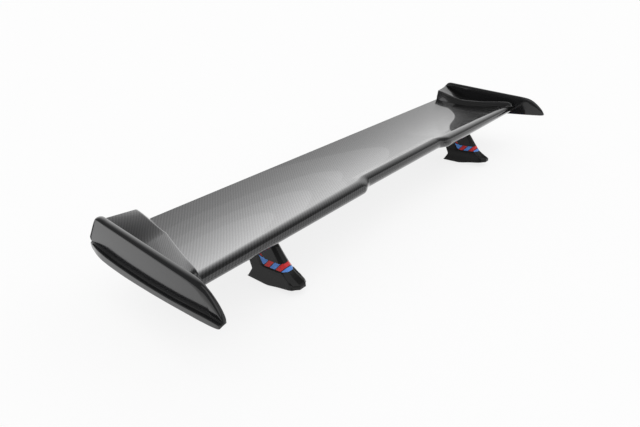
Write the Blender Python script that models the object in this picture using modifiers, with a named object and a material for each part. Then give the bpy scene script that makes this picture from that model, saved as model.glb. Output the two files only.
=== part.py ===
"""Racing rear wing: a carbon blade with end plates on two pillar stands, set in angle about a pivot.

Frame: metres, +X along the span, the leading edge towards -Y, +Z up, the stands' base at Z = 0.
"""

from math import atan2, cos, pi, radians, sin, tan

import bmesh
import bpy
from mathutils import Vector

# Clearances
GAP = 0.0003  # between pieces that touch
SLACK = 0.0008  # between the wing and the stands that it turns on
BOND_LINE = 0.0005  # adhesive between the skins and the pieces inside them

# Overall
OVERALL_SPAN = 1.2730  # across the lips of the end plates
STAND_SPACING = 0.800  # between the stands' middle planes

# Blade section
LEADING_Y = -0.0951  # foremost point of the outer sections
NOSE_BOTTOM_Z = 0.1150
NOSE_RADIUS_INNER = 0.0130  # where the outer section meets the centre ramp
NOSE_RADIUS_TIP = 0.0095  # at the end plate
NOSE_STRETCH = 1.6  # length of the nose's upper half, which is drawn out, over its radius
TRAILING_Y = 0.1349
TRAILING_TOP_Z = 0.1365
TRAILING_THICKNESS = 0.0020
CREST_ANGLE = radians(13.0)  # fall of the top surface just behind the nose
TRAILING_TOP_ANGLE = radians(11.0)  # rise of the top surface at the trailing edge
BELLY_FRONT_ANGLE = radians(7.0)
TRAILING_BELLY_ANGLE = radians(12.5)
TOP_PULL = 0.075  # length of the top curve's handles
BELLY_PULL = 0.085
SKIN_WALL = 0.0016
SKIN_PARTING = 0.00036  # between the two skins at the trailing edge

# Centre section, whose leading edge is set back
CENTRE_SETBACK = 0.013
CENTRE_HALF_WIDTH = 0.154
RAMP_WIDTH = 0.029
SETBACK_BLEND = 0.045  # chord length over which the set-back fades out

# Inside the blade
FRONT_SPAR_Y = -0.0371
FRONT_SPAR_DEPTH = 0.014
REAR_SPAR_Y = 0.0275
REAR_SPAR_DEPTH = 0.008
SPAR_WALL = 0.0014
CENTRE_RIB_WIDTH = 0.004
END_RIB_WIDTH = 0.008
HARD_POINT_WIDTH = 0.036
SPAR_SCREW_OFFSET = 0.011  # from the hard point's middle plane

# End plates, rows from nose to tail: (Y, top Z, ledge Z, bottom Z, lip reach, thickness)
PLATE_ROWS = (
    (-0.1796, 0.1140, 0.1115, 0.1075, 0.0058, 0.0040),
    (-0.1776, 0.1180, 0.1128, 0.1058, 0.0062, 0.0055),
    (-0.1736, 0.1240, 0.1136, 0.1048, 0.0066, 0.0075),
    (-0.1661, 0.1322, 0.1140, 0.1040, 0.0070, 0.0100),
    (-0.1551, 0.1418, 0.1140, 0.1030, 0.0074, 0.0122),
    (-0.1421, 0.1502, 0.1134, 0.1020, 0.0077, 0.0138),
    (-0.1271, 0.1556, 0.1122, 0.1009, 0.0080, 0.0148),
    (-0.1071, 0.1580, 0.1106, 0.0995, 0.0080, 0.0150),
    (-0.0621, 0.1612, 0.1074, 0.0964, 0.0080, 0.0150),
    (-0.0021, 0.1655, 0.1060, 0.0936, 0.0080, 0.0150),
    (0.0579, 0.1700, 0.1072, 0.0925, 0.0080, 0.0150),
    (0.1079, 0.1737, 0.1102, 0.0945, 0.0080, 0.0150),
    (0.1319, 0.1753, 0.1132, 0.0968, 0.0078, 0.0150),
    (0.1399, 0.1738, 0.1140, 0.0978, 0.0074, 0.0150),
    (0.1469, 0.1664, 0.1146, 0.0988, 0.0068, 0.0148),
    (0.1559, 0.1542, 0.1152, 0.1002, 0.0056, 0.0142),
    (0.1649, 0.1420, 0.1154, 0.1025, 0.0040, 0.0132),
    (0.1729, 0.1312, 0.1150, 0.1055, 0.0026, 0.0115),
    (0.1774, 0.1242, 0.1144, 0.1085, 0.0018, 0.0095),
    (0.1796, 0.1180, 0.1136, 0.1115, 0.0012, 0.0070),
)
PLATE_LIP = 0.0080  # reach of the lip past the outer face
PLATE_THICKNESS = 0.0150
PLATE_CROWN = 0.0080  # height of the rounded top edge
PLATE_BOTTOM_RISE = 0.0070  # of the under side, towards the blade
CROWN_SHARE = 0.45  # most of the face's height that the crown may take near the ends
BOTTOM_SHARE = 0.5  # most of the lip's height that the rise may take
LIP_EDGE = 0.15  # chamfer of the lip's edges, as a share of its reach
LIP_COVE = 0.30  # hollow between the lip and the outer face, as a share of its reach
PANEL_DEPTH = 0.0012  # the sunk panel on the outer face
PANEL_CORNERS = (  # (Y, Z, fillet radius)
    (0.1324, 0.1663, 0.006),
    (-0.1261, 0.1478, 0.022),
    (-0.1541, 0.1175, 0.006),
    (-0.1021, 0.1140, 0.060),
    (-0.0080, 0.1099, 0.250),
    (0.0979, 0.1134, 0.100),
    (0.1634, 0.1190, 0.006),
)
DOWEL_RADIUS = 0.0018
DOWEL_DEPTH = 0.008  # into the end plate
DOWEL_INSET = 0.014  # from the spars

# End fairings
FAIRING_FRONT_Y = -0.0751
FAIRING_TAPER_Y = 0.0549  # behind this the shoulder keeps its full width
FAIRING_WIDTH = 0.061
FAIRING_TIP_WIDTH = 0.017
FAIRING_FOOT = 0.003  # run-out of the inner wall, front part
FAIRING_FOOT_REAR = 0.018
FAIRING_LEAN = 0.25  # backward lean of the rear face
FAIRING_DROP = 0.0082  # of the shoulder below the plate's top edge
FAIRING_DROP_REAR = 0.0062
CREST_HEIGHT = 0.0130  # of the inner edge over the blade
CREST_HEIGHT_REAR = 0.0240
CREST_SWELL = 0.0042  # more than that over the blade's hollow
FAIRING_WALL = 0.0022  # the moulding is hollow and open towards the blade

# Stands: side outline as (height, front Y, rear Y, thickness), from the base up to below the head
STAND_LEVELS = (
    (0.0000, -0.0421, 0.0190, 0.0360),
    (0.0070, -0.0721, 0.0144, 0.0356),
    (0.0150, -0.1086, 0.0094, 0.0345),
    (0.0205, -0.1086, 0.0067, 0.0335),
    (0.0310, -0.0939, 0.0119, 0.0318),
    (0.0400, -0.0821, 0.0169, 0.0290),
    (0.0560, -0.0691, 0.0254, 0.0250),
    (0.0800, -0.0514, 0.0359, 0.0230),
)
TOE_LEVELS = (1, 2)  # levels of the rising under side, where the inner skin lies higher
HEAD_FRONT_Y = -0.0296
HEAD_REAR_Y = 0.0459
HEAD_THICKNESS = 0.0220
STRIP_SHARE = 0.38  # of the thickness, taken by the flat front strip
BEVEL_SLOPE = 0.85  # of the flanks beside that strip
STAND_CORNERS = (0.0015, 0.0040, 0.0040)  # plan radii at the strip, the bevels and the tail
SHELL_WALL = 0.0025
GASKET_THICKNESS = 0.0020
FOOT_THICKNESS = 0.0060

# Upright fork inside the stand, and the hinge
UPRIGHT_FOOT_FRONT = -0.0281
UPRIGHT_FOOT_REAR = -0.0021
UPRIGHT_HEAD_FRONT = -0.0201
UPRIGHT_HEAD_REAR = 0.0319
LIGHTENING_RADIUS = 0.011
UPRIGHT_FOOT_CORNER = 0.002
UPRIGHT_HEAD_CORNER = 0.004
PIVOT_Y = -0.0121
PIVOT_Z = 0.094
ANGLE_SCREW_REACH = 0.030  # behind the pivot
ANGLE_RANGE = radians(10.0)
LUG_THICKNESS = 0.0058
LUG_RIM = 0.0078
LUG_TOE_CORNER = 0.005
LUG_ROOT_CORNER = 0.001
SLOT_ROOM = 0.0032  # under the lug, in the fork
BUSH_WALL = 0.0018
ACCESS_RADIUS = 0.0068

# Fasteners
HINGE_SCREW_RADIUS = 0.0030
HINGE_HEAD_RADIUS = 0.0056
HINGE_HEAD_HEIGHT = 0.0030
FOOT_SCREW_RADIUS = 0.0025
FOOT_HEAD_RADIUS = 0.0048
FOOT_HEAD_HEIGHT = 0.0028
FOOT_SCREW_LENGTH = 0.018
FOOT_SCREW_Y = (-0.0201, -0.0081)
SPAR_SCREW_RADIUS = 0.0020
SPAR_HEAD_RADIUS = 0.0035
SPAR_HEAD_HEIGHT = 0.0022
SPAR_SCREW_LENGTH = 0.012
INSERT_RADIUS = 0.0045
INSERT_BORE = 0.0025
INSERT_Y = (-0.0306, 0.0024)

# Mesh resolution
NOSE_STEPS = 6
CHORD_STEPS = 10
FILLET_STEPS = 6
SCREW_STEPS = 12
CORNER_STEPS = 2  # on the stand's upright corners
SIDE_STEPS = 4  # along the stand's flanks
CROWN_STEPS = 6  # over the end plate's top edge
FAIRING_STEPS = 5  # across the end fairing
FORK_STEPS = 3  # on the corners of the fork and the lug
MERGE_DISTANCE = 1e-5
FLAT_ANGLE = radians(0.05)  # neighbouring faces closer than this become one

SIDEWAYS = (pi / 2, 0.0, pi / 2)  # turns a flat outline (Y, Z) to face along X
SIDES = (("left", -1), ("right", 1))

# Worked out from the sizes above
PLATE_OUTER_X = OVERALL_SPAN / 2
PLATE_FACE_X = PLATE_OUTER_X - PLATE_LIP
PLATE_INNER_X = PLATE_FACE_X - PLATE_THICKNESS
BLADE_HALF = PLATE_INNER_X - GAP
STAND_X = STAND_SPACING / 2
RAMP_OUTER_X = CENTRE_HALF_WIDTH + RAMP_WIDTH
STATIONS = (-BLADE_HALF, -RAMP_OUTER_X, -CENTRE_HALF_WIDTH, CENTRE_HALF_WIDTH, RAMP_OUTER_X, BLADE_HALF)
ANGLE_SCREW_Y = PIVOT_Y + ANGLE_SCREW_REACH
FORK_WIDTH = HEAD_THICKNESS - 2 * (SHELL_WALL + GAP)
FOOT_BOTTOM_Z = GASKET_THICKNESS + GAP
FOOT_TOP_Z = FOOT_BOTTOM_Z + FOOT_THICKNESS
BAY_FRONT = FRONT_SPAR_Y + FRONT_SPAR_DEPTH + GAP  # the bay between the spars
BAY_REAR = REAR_SPAR_Y - GAP


# Scene set-up

for old in list(bpy.data.objects):
    bpy.data.objects.remove(old, do_unlink=True)


def new_collection(name):
    """A collection in the scene, empty at the start."""
    collection = bpy.data.collections.new(name)
    bpy.context.scene.collection.children.link(collection)
    return collection


PARTS = new_collection("racing_rear_wing")
CUTTERS = new_collection("cutters")


def new_mover(name, location):
    """An empty that carries the pieces of one moving group."""
    mover = bpy.data.objects.new(name, None)
    mover.location = location
    PARTS.objects.link(mover)
    bpy.context.view_layer.update()
    return mover


STAND_BASE = new_mover("stand_base", (0.0, 0.0, 0.0))
WING_PIVOT = new_mover("wing_pivot", (0.0, PIVOT_Y, PIVOT_Z))

FINISHES = {
    "carbon": ((0.045, 0.046, 0.050), 0.22, 0.0),
    "gloss_black": ((0.012, 0.012, 0.013), 0.12, 0.0),
    "satin_black": ((0.018, 0.018, 0.020), 0.32, 0.0),
    "alloy": ((0.55, 0.56, 0.58), 0.35, 1.0),
    "steel": ((0.35, 0.35, 0.37), 0.30, 1.0),
    "bronze": ((0.45, 0.30, 0.14), 0.40, 1.0),
    "rubber": ((0.020, 0.020, 0.020), 0.85, 0.0),
}


def finish_material(name):
    """The Principled material of one finish, made once."""
    if name in bpy.data.materials:
        return bpy.data.materials[name]
    colour, roughness, metallic = FINISHES[name]
    material = bpy.data.materials.new(name)
    material.use_nodes = True
    shader = material.node_tree.nodes["Principled BSDF"]
    shader.inputs["Base Color"].default_value = (*colour, 1.0)
    shader.inputs["Roughness"].default_value = roughness
    shader.inputs["Metallic"].default_value = metallic
    return material


def add_node(name, mesh, finish, mover, location=(0, 0, 0), rotation=(0, 0, 0)):
    """Put a mesh in the parts collection as one named piece of a moving group."""
    node = bpy.data.objects.new(name, mesh)
    node.location = location
    node.rotation_euler = rotation
    if not mesh.materials:
        mesh.materials.append(finish_material(finish))
    PARTS.objects.link(node)
    node.parent = mover
    node.matrix_parent_inverse = mover.matrix_world.inverted()
    return node


def add_tool(name, mesh, location=(0, 0, 0), rotation=(0, 0, 0)):
    """Put a mesh in the cutters collection, hidden from renders."""
    tool = bpy.data.objects.new(name, mesh)
    tool.location = location
    tool.rotation_euler = rotation
    tool.hide_render = True
    tool.display_type = "WIRE"
    CUTTERS.objects.link(tool)
    return tool


def boolean(node, tool, operation):
    """Cut or join a tool to a node."""
    modifier = node.modifiers.new(operation.lower(), "BOOLEAN")
    modifier.object = tool
    modifier.operation = operation
    modifier.solver = "EXACT"


# Mesh makers

def loft(name, rings, ends="flat"):
    """Skin a row of closed rings with equal counts.

    The ends are flat faces, or strips across a thin wall whose ring runs out and back, or the last ring
    joins the first.
    """
    shell = bmesh.new()
    rows = [[shell.verts.new(point) for point in ring] for ring in rings]
    count = len(rows[0])
    joined = rows[1:] + rows[:1] if ends == "joined" else rows[1:]
    for near, far in zip(rows, joined):
        for i in range(count):
            j = (i + 1) % count
            shell.faces.new((near[i], near[j], far[j], far[i]))
    for row in (rows[0], rows[-1]):
        if ends == "strips":
            for i in range(count // 2 - 1):
                shell.faces.new((row[i], row[i + 1], row[count - 2 - i], row[count - 1 - i]))
        elif ends == "flat":
            shell.faces.new(row)
    bmesh.ops.recalc_face_normals(shell, faces=shell.faces)
    mesh = bpy.data.meshes.new(name)
    shell.to_mesh(mesh)
    shell.free()
    return mesh


def flat_mesh(name, outlines, thickness):
    """A plate of the given thickness from closed outlines; inner outlines are holes."""
    curve = bpy.data.curves.new(name, "CURVE")
    curve.dimensions = "2D"
    curve.fill_mode = "BOTH"
    curve.extrude = thickness / 2
    for outline in outlines:
        spline = curve.splines.new("POLY")
        spline.points.add(len(outline) - 1)
        for point, (u, v) in zip(spline.points, outline):
            point.co = (u, v, 0.0, 1.0)
        spline.use_cyclic_u = True
    source = bpy.data.objects.new(name, curve)
    CUTTERS.objects.link(source)
    evaluated = source.evaluated_get(bpy.context.evaluated_depsgraph_get())
    mesh = bpy.data.meshes.new_from_object(evaluated)
    bpy.data.objects.remove(source)
    bpy.data.curves.remove(curve)
    plate = bmesh.new()
    plate.from_mesh(mesh)
    bmesh.ops.remove_doubles(plate, verts=plate.verts, dist=MERGE_DISTANCE)
    bmesh.ops.dissolve_limit(plate, angle_limit=FLAT_ANGLE, verts=plate.verts, edges=plate.edges)
    bmesh.ops.recalc_face_normals(plate, faces=plate.faces)
    plate.to_mesh(mesh)
    plate.free()
    mesh.materials.clear()
    return mesh


def box_mesh(name, low, high):
    """A box between two corners."""
    box = bmesh.new()
    bmesh.ops.create_cube(box, size=1.0)
    for vert in box.verts:
        vert.co = Vector([a + (c + 0.5) * (b - a) for a, b, c in zip(low, high, vert.co)])
    mesh = bpy.data.meshes.new(name)
    box.to_mesh(mesh)
    box.free()
    return mesh


def turned_mesh(name, profile):
    """A turned piece from (radius, height) points that run down its outer side."""
    wire = bmesh.new()
    points = [wire.verts.new((radius, 0.0, height)) for radius, height in profile]
    for a, b in zip(points, points[1:]):
        wire.edges.new((a, b))
    if profile[0][0] > 0.0:
        wire.edges.new((points[-1], points[0]))
    mesh = bpy.data.meshes.new(name)
    wire.to_mesh(mesh)
    wire.free()
    return mesh


def add_turning(node):
    """Turn a node's profile about its own Z axis."""
    screw = node.modifiers.new("turn", "SCREW")
    screw.steps = SCREW_STEPS
    screw.render_steps = SCREW_STEPS
    screw.use_merge_vertices = True
    screw.merge_threshold = MERGE_DISTANCE
    screw.use_smooth_shade = False


def countersunk_profile(head_radius, head_height, radius, length, spare=0.0):
    """A countersunk screw from its flat head at 0 downwards; spare makes the hole that it fits."""
    lip = head_height / 6
    return [
        (0.0, 4 * spare),
        (head_radius + spare, 4 * spare),
        (head_radius + spare, -lip - spare),
        (radius + spare, -head_height - spare),
        (radius + spare, -length - spare),
        (0.0, -length - spare),
    ]


def circle(centre, radius, steps=SCREW_STEPS):
    """Points of a circle in an outline."""
    return [
        (centre[0] + radius * cos(2 * pi * i / steps), centre[1] + radius * sin(2 * pi * i / steps))
        for i in range(steps)
    ]


def rounded_outline(corners, steps=FILLET_STEPS):
    """A closed outline through corners (u, v, radius), each rounded by an arc."""
    points = []
    count = len(corners)
    for i, (u, v, radius) in enumerate(corners):
        corner = Vector((u, v))
        to_last = (Vector(corners[i - 1][:2]) - corner).normalized()
        to_next = (Vector(corners[(i + 1) % count][:2]) - corner).normalized()
        half = to_last.angle(to_next) / 2
        centre = corner + (to_last + to_next).normalized() * (radius / sin(half))
        start = corner + to_last * (radius / tan(half)) - centre
        sweep = start.angle_signed(corner + to_next * (radius / tan(half)) - centre)
        first = atan2(start.y, start.x)
        for k in range(steps + 1):
            angle = first - sweep * k / steps
            points.append((centre.x + radius * cos(angle), centre.y + radius * sin(angle)))
    return points


def inset_outline(outline, inset):
    """A counter-clockwise outline moved inwards by the same distance all round."""
    moved = []
    count = len(outline)
    for i in range(count):
        here = Vector(outline[i])
        ahead = (Vector(outline[(i + 1) % count]) - here).normalized()
        behind = (here - Vector(outline[i - 1])).normalized()
        inward = Vector((-ahead.y - behind.y, ahead.x + behind.x)).normalized()
        half_turn = behind.angle(ahead) / 2
        moved.append(tuple(here + inward * (inset / cos(half_turn))))
    return moved


# Blade section

def smooth(t):
    """Smooth step from 0 to 1."""
    t = min(max(t, 0.0), 1.0)
    return t * t * (3 - 2 * t)


def lerp(a, b, t):
    """Straight mix of two values."""
    return a + (b - a) * t


def bezier_stretch(start, start_angle, end, end_angle, pull, steps):
    """Points and headings along a curve that leaves and arrives at the given angles."""
    p0, p3 = Vector(start), Vector(end)
    p1 = p0 + pull * Vector((cos(start_angle), sin(start_angle)))
    p2 = p3 - pull * Vector((cos(end_angle), sin(end_angle)))
    points = []
    for i in range(1, steps + 1):
        t = i / steps
        s = 1 - t
        place = s**3 * p0 + 3 * s * s * t * p1 + 3 * s * t * t * p2 + t**3 * p3
        heading = s * s * (p1 - p0) + 2 * s * t * (p2 - p1) + t * t * (p3 - p2)
        points.append((place, heading.normalized()))
    return points


def surface(station, top):
    """One face of the blade at a station, from nose to trailing edge, as (place, outward normal)."""
    tip = (abs(station) - RAMP_OUTER_X) / (BLADE_HALF - RAMP_OUTER_X)
    radius = lerp(NOSE_RADIUS_INNER, NOSE_RADIUS_TIP, max(tip, 0.0))
    length = NOSE_STRETCH * radius if top else radius
    centre = Vector((LEADING_Y + length, NOSE_BOTTOM_Z + radius))
    turn = 1 if top else -1
    first = pi - GAP / (2 * radius)
    crest = atan2(radius * cos(CREST_ANGLE), length * sin(CREST_ANGLE))
    last = crest if top else pi / 2 + BELLY_FRONT_ANGLE
    rows = []
    for i in range(NOSE_STEPS + 1):
        angle = turn * lerp(first, last, i / NOSE_STEPS)
        normal = Vector((radius * cos(angle), length * sin(angle))).normalized()
        rows.append((centre + Vector((length * cos(angle), radius * sin(angle))), normal))
    if top:
        leave, arrive, pull = -CREST_ANGLE, TRAILING_TOP_ANGLE, TOP_PULL
        end = (TRAILING_Y, TRAILING_TOP_Z)
    else:
        leave, arrive, pull = -BELLY_FRONT_ANGLE, TRAILING_BELLY_ANGLE, BELLY_PULL
        end = (TRAILING_Y, TRAILING_TOP_Z - TRAILING_THICKNESS)
    stretch = bezier_stretch(rows[-1][0], leave, end, arrive, pull, CHORD_STEPS)
    rows += [(place, turn * Vector((-heading.y, heading.x))) for place, heading in stretch]
    return rows


def set_back(place, station):
    """Move a point of the nose rearwards by the centre section's set-back."""
    share = min(max((RAMP_OUTER_X - abs(station)) / RAMP_WIDTH, 0.0), 1.0)
    fade = 1 - smooth((place.x - LEADING_Y - NOSE_RADIUS_TIP) / SETBACK_BLEND)
    return Vector((place.x + CENTRE_SETBACK * share * fade, place.y))


def height_on(line, y):
    """Height of a (Y, Z) line at a chord position behind the nose."""
    for a, b in zip(line[NOSE_STEPS:], line[NOSE_STEPS + 1:]):
        if y <= b.x or b is line[-1]:
            return lerp(a.y, b.y, (y - a.x) / (b.x - a.x))
    return line[-1].y


def station_lines(station):
    """Outer and inner lines of both skins at a station: (top, top inside, belly, belly inside)."""
    faces = {top: surface(station, top) for top in (True, False)}
    outer = {top: [set_back(place, station) for place, _ in rows] for top, rows in faces.items()}
    inner = {}
    for top, rows in faces.items():
        inner[top] = []
        for i, (place, normal) in enumerate(rows):
            wall = SKIN_WALL
            if i > NOSE_STEPS:
                here = outer[top][i]
                thickness = abs(here.y - height_on(outer[not top], here.x))
                wall = min(SKIN_WALL, (thickness - SKIN_PARTING) / 2)
            inner[top].append(set_back(place - wall * normal, station))
    return outer[True], inner[True], outer[False], inner[False]


SECTION = {station: station_lines(station) for station in STATIONS}


def lines_at(x):
    """The four skin lines at any span position, mixed between the two nearest stations."""
    for a, b in zip(STATIONS, STATIONS[1:]):
        if x <= b or b == STATIONS[-1]:
            t = min(max((x - a) / (b - a), 0.0), 1.0)
            return [[p.lerp(q, t) for p, q in zip(m, n)] for m, n in zip(SECTION[a], SECTION[b])]
    return SECTION[STATIONS[-1]]


def top_height(x, y):
    """Height of the blade's top face."""
    return height_on(lines_at(x)[0], y)


def belly_height(x, y):
    """Height of the blade's under face."""
    return height_on(lines_at(x)[2], y)


def cavity(x, y):
    """Lowest and highest free height inside the blade, clear of the skins."""
    lines = lines_at(x)
    return height_on(lines[3], y) + BOND_LINE, height_on(lines[1], y) - BOND_LINE


def chord_steps(front, rear, steps):
    """Evenly spaced chord positions."""
    return [lerp(front, rear, i / steps) for i in range(steps + 1)]


# Blade pieces

def make_skins():
    """Upper and lower carbon skins, parted along the nose and the trailing edge."""
    skins = []
    for name, outer, inner in (("blade_upper_skin", 0, 1), ("blade_lower_skin", 2, 3)):
        rings = []
        for station in STATIONS:
            lines = SECTION[station]
            ring = lines[outer] + lines[inner][::-1]
            rings.append([(station, place.x, place.y) for place in ring])
        skins.append(add_node(name, loft(name, rings, ends="strips"), "carbon", WING_PIVOT))
    return skins


def make_spar(name, web_y, open_y):
    """A channel along the span, web at one chord position and open at the other."""
    wall = SPAR_WALL if open_y > web_y else -SPAR_WALL
    ends = BLADE_HALF - GAP
    bays = [STAND_X - HARD_POINT_WIDTH / 2, STAND_X + HARD_POINT_WIDTH / 2]
    rings = []
    for station in sorted([-ends, ends, *STATIONS[1:-1], *bays, *(-x for x in bays)]):
        web_low, web_high = cavity(station, web_y)
        open_low, open_high = cavity(station, open_y)
        inside = web_y + wall
        low, high = cavity(station, inside)
        ring = [
            (web_y, web_low), (open_y, open_low),
            (open_y, open_low + SPAR_WALL), (inside, low + SPAR_WALL),
            (inside, high - SPAR_WALL), (open_y, open_high - SPAR_WALL),
            (open_y, open_high), (web_y, web_high),
        ]
        rings.append([(station, y, z) for y, z in ring])
    return add_node(name, loft(name, rings), "carbon", WING_PIVOT)


def bay_block(name, x_from, x_to, finish):
    """A block that fills the bay between the spars over a stretch of the span."""
    rings = []
    for x in (x_from, x_to):
        places = chord_steps(BAY_FRONT, BAY_REAR, CHORD_STEPS)
        low = [(x, y, cavity(x, y)[0]) for y in places]
        high = [(x, y, cavity(x, y)[1]) for y in places]
        rings.append(low + high[::-1])
    return add_node(name, loft(name, rings, ends="strips"), finish, WING_PIVOT)


def mid_height(x, y):
    """Height midway between the skins."""
    low, high = cavity(x, y)
    return (low + high) / 2


def make_dowels_and_end_rib(label, side, plate):
    """End rib with two dowels that locate the end plate on it."""
    rib_inner = BLADE_HALF - END_RIB_WIDTH
    rib = bay_block(f"end_rib_{label}", *sorted((side * rib_inner, side * (BLADE_HALF - GAP))), "carbon")
    length = DOWEL_DEPTH + GAP + END_RIB_WIDTH
    middle = side * (PLATE_INNER_X + DOWEL_DEPTH - length / 2)
    for place, y in (("front", BAY_FRONT + DOWEL_INSET), ("rear", BAY_REAR - DOWEL_INSET)):
        spot = (middle, y, mid_height(side * BLADE_HALF, y))
        pin = flat_mesh("dowel", [circle((0, 0), DOWEL_RADIUS)], length)
        add_node(f"dowel_{place}_{label}", pin, "steel", WING_PIVOT, spot, SIDEWAYS)
        hole = flat_mesh("dowel_hole", [circle((0, 0), DOWEL_RADIUS + GAP)], length + 2 * GAP)
        tool = add_tool(f"dowel_hole_{place}_{label}", hole, spot, SIDEWAYS)
        boolean(rib, tool, "DIFFERENCE")
        boolean(plate, tool, "DIFFERENCE")


# End plates and fairings

def plate_row(y):
    """Top, ledge and bottom heights, lip reach and thickness of the end plate at a chord position."""
    for near, far in zip(PLATE_ROWS, PLATE_ROWS[1:]):
        if y <= far[0]:
            break
    t = (y - near[0]) / (far[0] - near[0])
    return [lerp(a, b, t) for a, b in zip(near[1:], far[1:])]


def plate_ring(side, y):
    """Section of the end plate: inner face, rounded crown, outer face, ledge and lip."""
    top, ledge, bottom, lip, thickness = plate_row(y)
    face = PLATE_FACE_X
    half = thickness / 2
    crown = min(PLATE_CROWN, CROWN_SHARE * (top - ledge))
    foot = min(PLATE_BOTTOM_RISE, BOTTOM_SHARE * (ledge - bottom))
    edge = LIP_EDGE * lip
    cove = LIP_COVE * lip
    dip = cove * (1 - cos(pi / 4))
    ring = [(face - thickness, bottom + foot)]
    for i in range(CROWN_STEPS + 1):
        angle = pi * (1 - i / CROWN_STEPS)
        ring.append((face - half + half * cos(angle), top - crown + crown * sin(angle)))
    ring += [(face, ledge + cove), (face + dip, ledge + dip), (face + cove, ledge)]
    ring += [(face + lip - edge, ledge), (face + lip, ledge - edge)]
    ring += [(face + lip, bottom + edge), (face + lip - edge, bottom)]
    return [(side * x, y, z) for x, z in ring]


def make_end_plate(label, side):
    """One end plate with a rounded crown, a lip along its foot and a sunk panel on its outer face."""
    name = f"end_plate_{label}"
    rings = [plate_ring(side, row[0]) for row in PLATE_ROWS]
    plate = add_node(name, loft(name, rings), "gloss_black", WING_PIVOT)
    panel = flat_mesh("panel", [rounded_outline(PANEL_CORNERS)], 2 * PANEL_DEPTH)
    boolean(plate, add_tool(f"panel_{label}", panel, (side * PLATE_FACE_X, 0, 0), SIDEWAYS), "DIFFERENCE")
    return plate


def fairing_ring(side, y, inset=0.0):
    """Section of the shoulder at a chord position: floor on the blade, inner wall, crest, hollow top."""
    along = min(max((y - FAIRING_FRONT_Y) / (FAIRING_TAPER_Y - FAIRING_FRONT_Y), 0.0), 1.0)
    rear = smooth((y - FAIRING_TAPER_Y) / (TRAILING_Y - FAIRING_TAPER_Y))
    side_x = PLATE_INNER_X - GAP
    top_x = side_x - lerp(FAIRING_TIP_WIDTH, FAIRING_WIDTH, along)
    run = (y - FAIRING_FRONT_Y) / (TRAILING_Y - FAIRING_FRONT_Y)
    swell = 4 * run * (1 - run) * CREST_SWELL
    crest_z = top_height(top_x, y) + lerp(CREST_HEIGHT, CREST_HEIGHT_REAR, rear) + swell - inset
    edge_z = plate_row(y)[0] - lerp(FAIRING_DROP, FAIRING_DROP_REAR, rear) - inset
    outer_x, crest_x = side_x - inset, top_x + inset
    foot_x = crest_x - lerp(FAIRING_FOOT, FAIRING_FOOT_REAR, rear)
    floor, roof = [], []
    for i in range(FAIRING_STEPS + 1):
        u = i / FAIRING_STEPS
        x = lerp(outer_x, foot_x, u)
        floor.append((x, top_height(x, y) + GAP - inset))
        fall = lerp(1 - (1 - u) ** 2, u**4, rear)
        roof.append((lerp(outer_x, crest_x, u), lerp(edge_z, crest_z, fall)))
    ring = floor + roof[::-1]
    base = top_height(side_x, y)
    return [(side * x, y + rear * FAIRING_LEAN * max(z - base, 0.0), z) for x, z in ring]


def make_fairing(label, side):
    """The hollow shoulder between blade and end plate."""
    name = f"end_fairing_{label}"
    rings = [fairing_ring(side, y) for y in chord_steps(FAIRING_FRONT_Y, TRAILING_Y, CHORD_STEPS)]
    fairing = add_node(name, loft(name, rings, ends="strips"), "carbon", WING_PIVOT)
    places = chord_steps(FAIRING_FRONT_Y + FAIRING_WALL, TRAILING_Y - FAIRING_WALL, CHORD_STEPS)
    rings = [fairing_ring(side, y, FAIRING_WALL) for y in places]
    boolean(fairing, add_tool(f"hollow_{label}", loft("hollow", rings, ends="strips")), "DIFFERENCE")
    return fairing


# Stands

def turned_belly_drop(y):
    """How far the blade's under face comes down over a chord position at the steepest setting."""
    ahead = y - PIVOT_Y
    over = belly_height(STAND_X, y) - PIVOT_Z
    return max(over * (1 - cos(ANGLE_RANGE)) - ahead * sin(ANGLE_RANGE), 0.0)


def head_height(y):
    """Top edge of the stand below the blade, clear of it at every setting."""
    return belly_height(STAND_X, y) - SLACK - turned_belly_drop(y)


def plan_outline(front, rear, thickness, inset):
    """Plan of the stand about its middle plane: narrow front strip, bevelled flanks, rounded tail."""
    half = thickness / 2
    strip = STRIP_SHARE * half
    shoulder = front + BEVEL_SLOPE * (half - strip)
    right = [(strip, front), (half, shoulder), (half, rear)]
    corners = inset_outline(right + [(-x, y) for x, y in right[::-1]], inset)
    radii = STAND_CORNERS + STAND_CORNERS[::-1]
    soft = [(*corner, max(radius - inset, radius / 4)) for corner, radius in zip(corners, radii)]
    arcs = rounded_outline(soft, CORNER_STEPS)
    per_arc = CORNER_STEPS + 1
    outline = []
    for i, (x, y) in enumerate(arcs):
        outline.append((x, y))
        if i in (2 * per_arc - 1, 4 * per_arc - 1):
            far = arcs[i + 1][1]
            outline += [(x, lerp(y, far, k / SIDE_STEPS)) for k in range(1, SIDE_STEPS)]
    return outline


def stand_ring(side, plan, height):
    """A plan outline at its place on the span; height is a number or a function of Y."""
    return [(side * STAND_X + x, y, height(y) if callable(height) else height) for x, y in plan]


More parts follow.
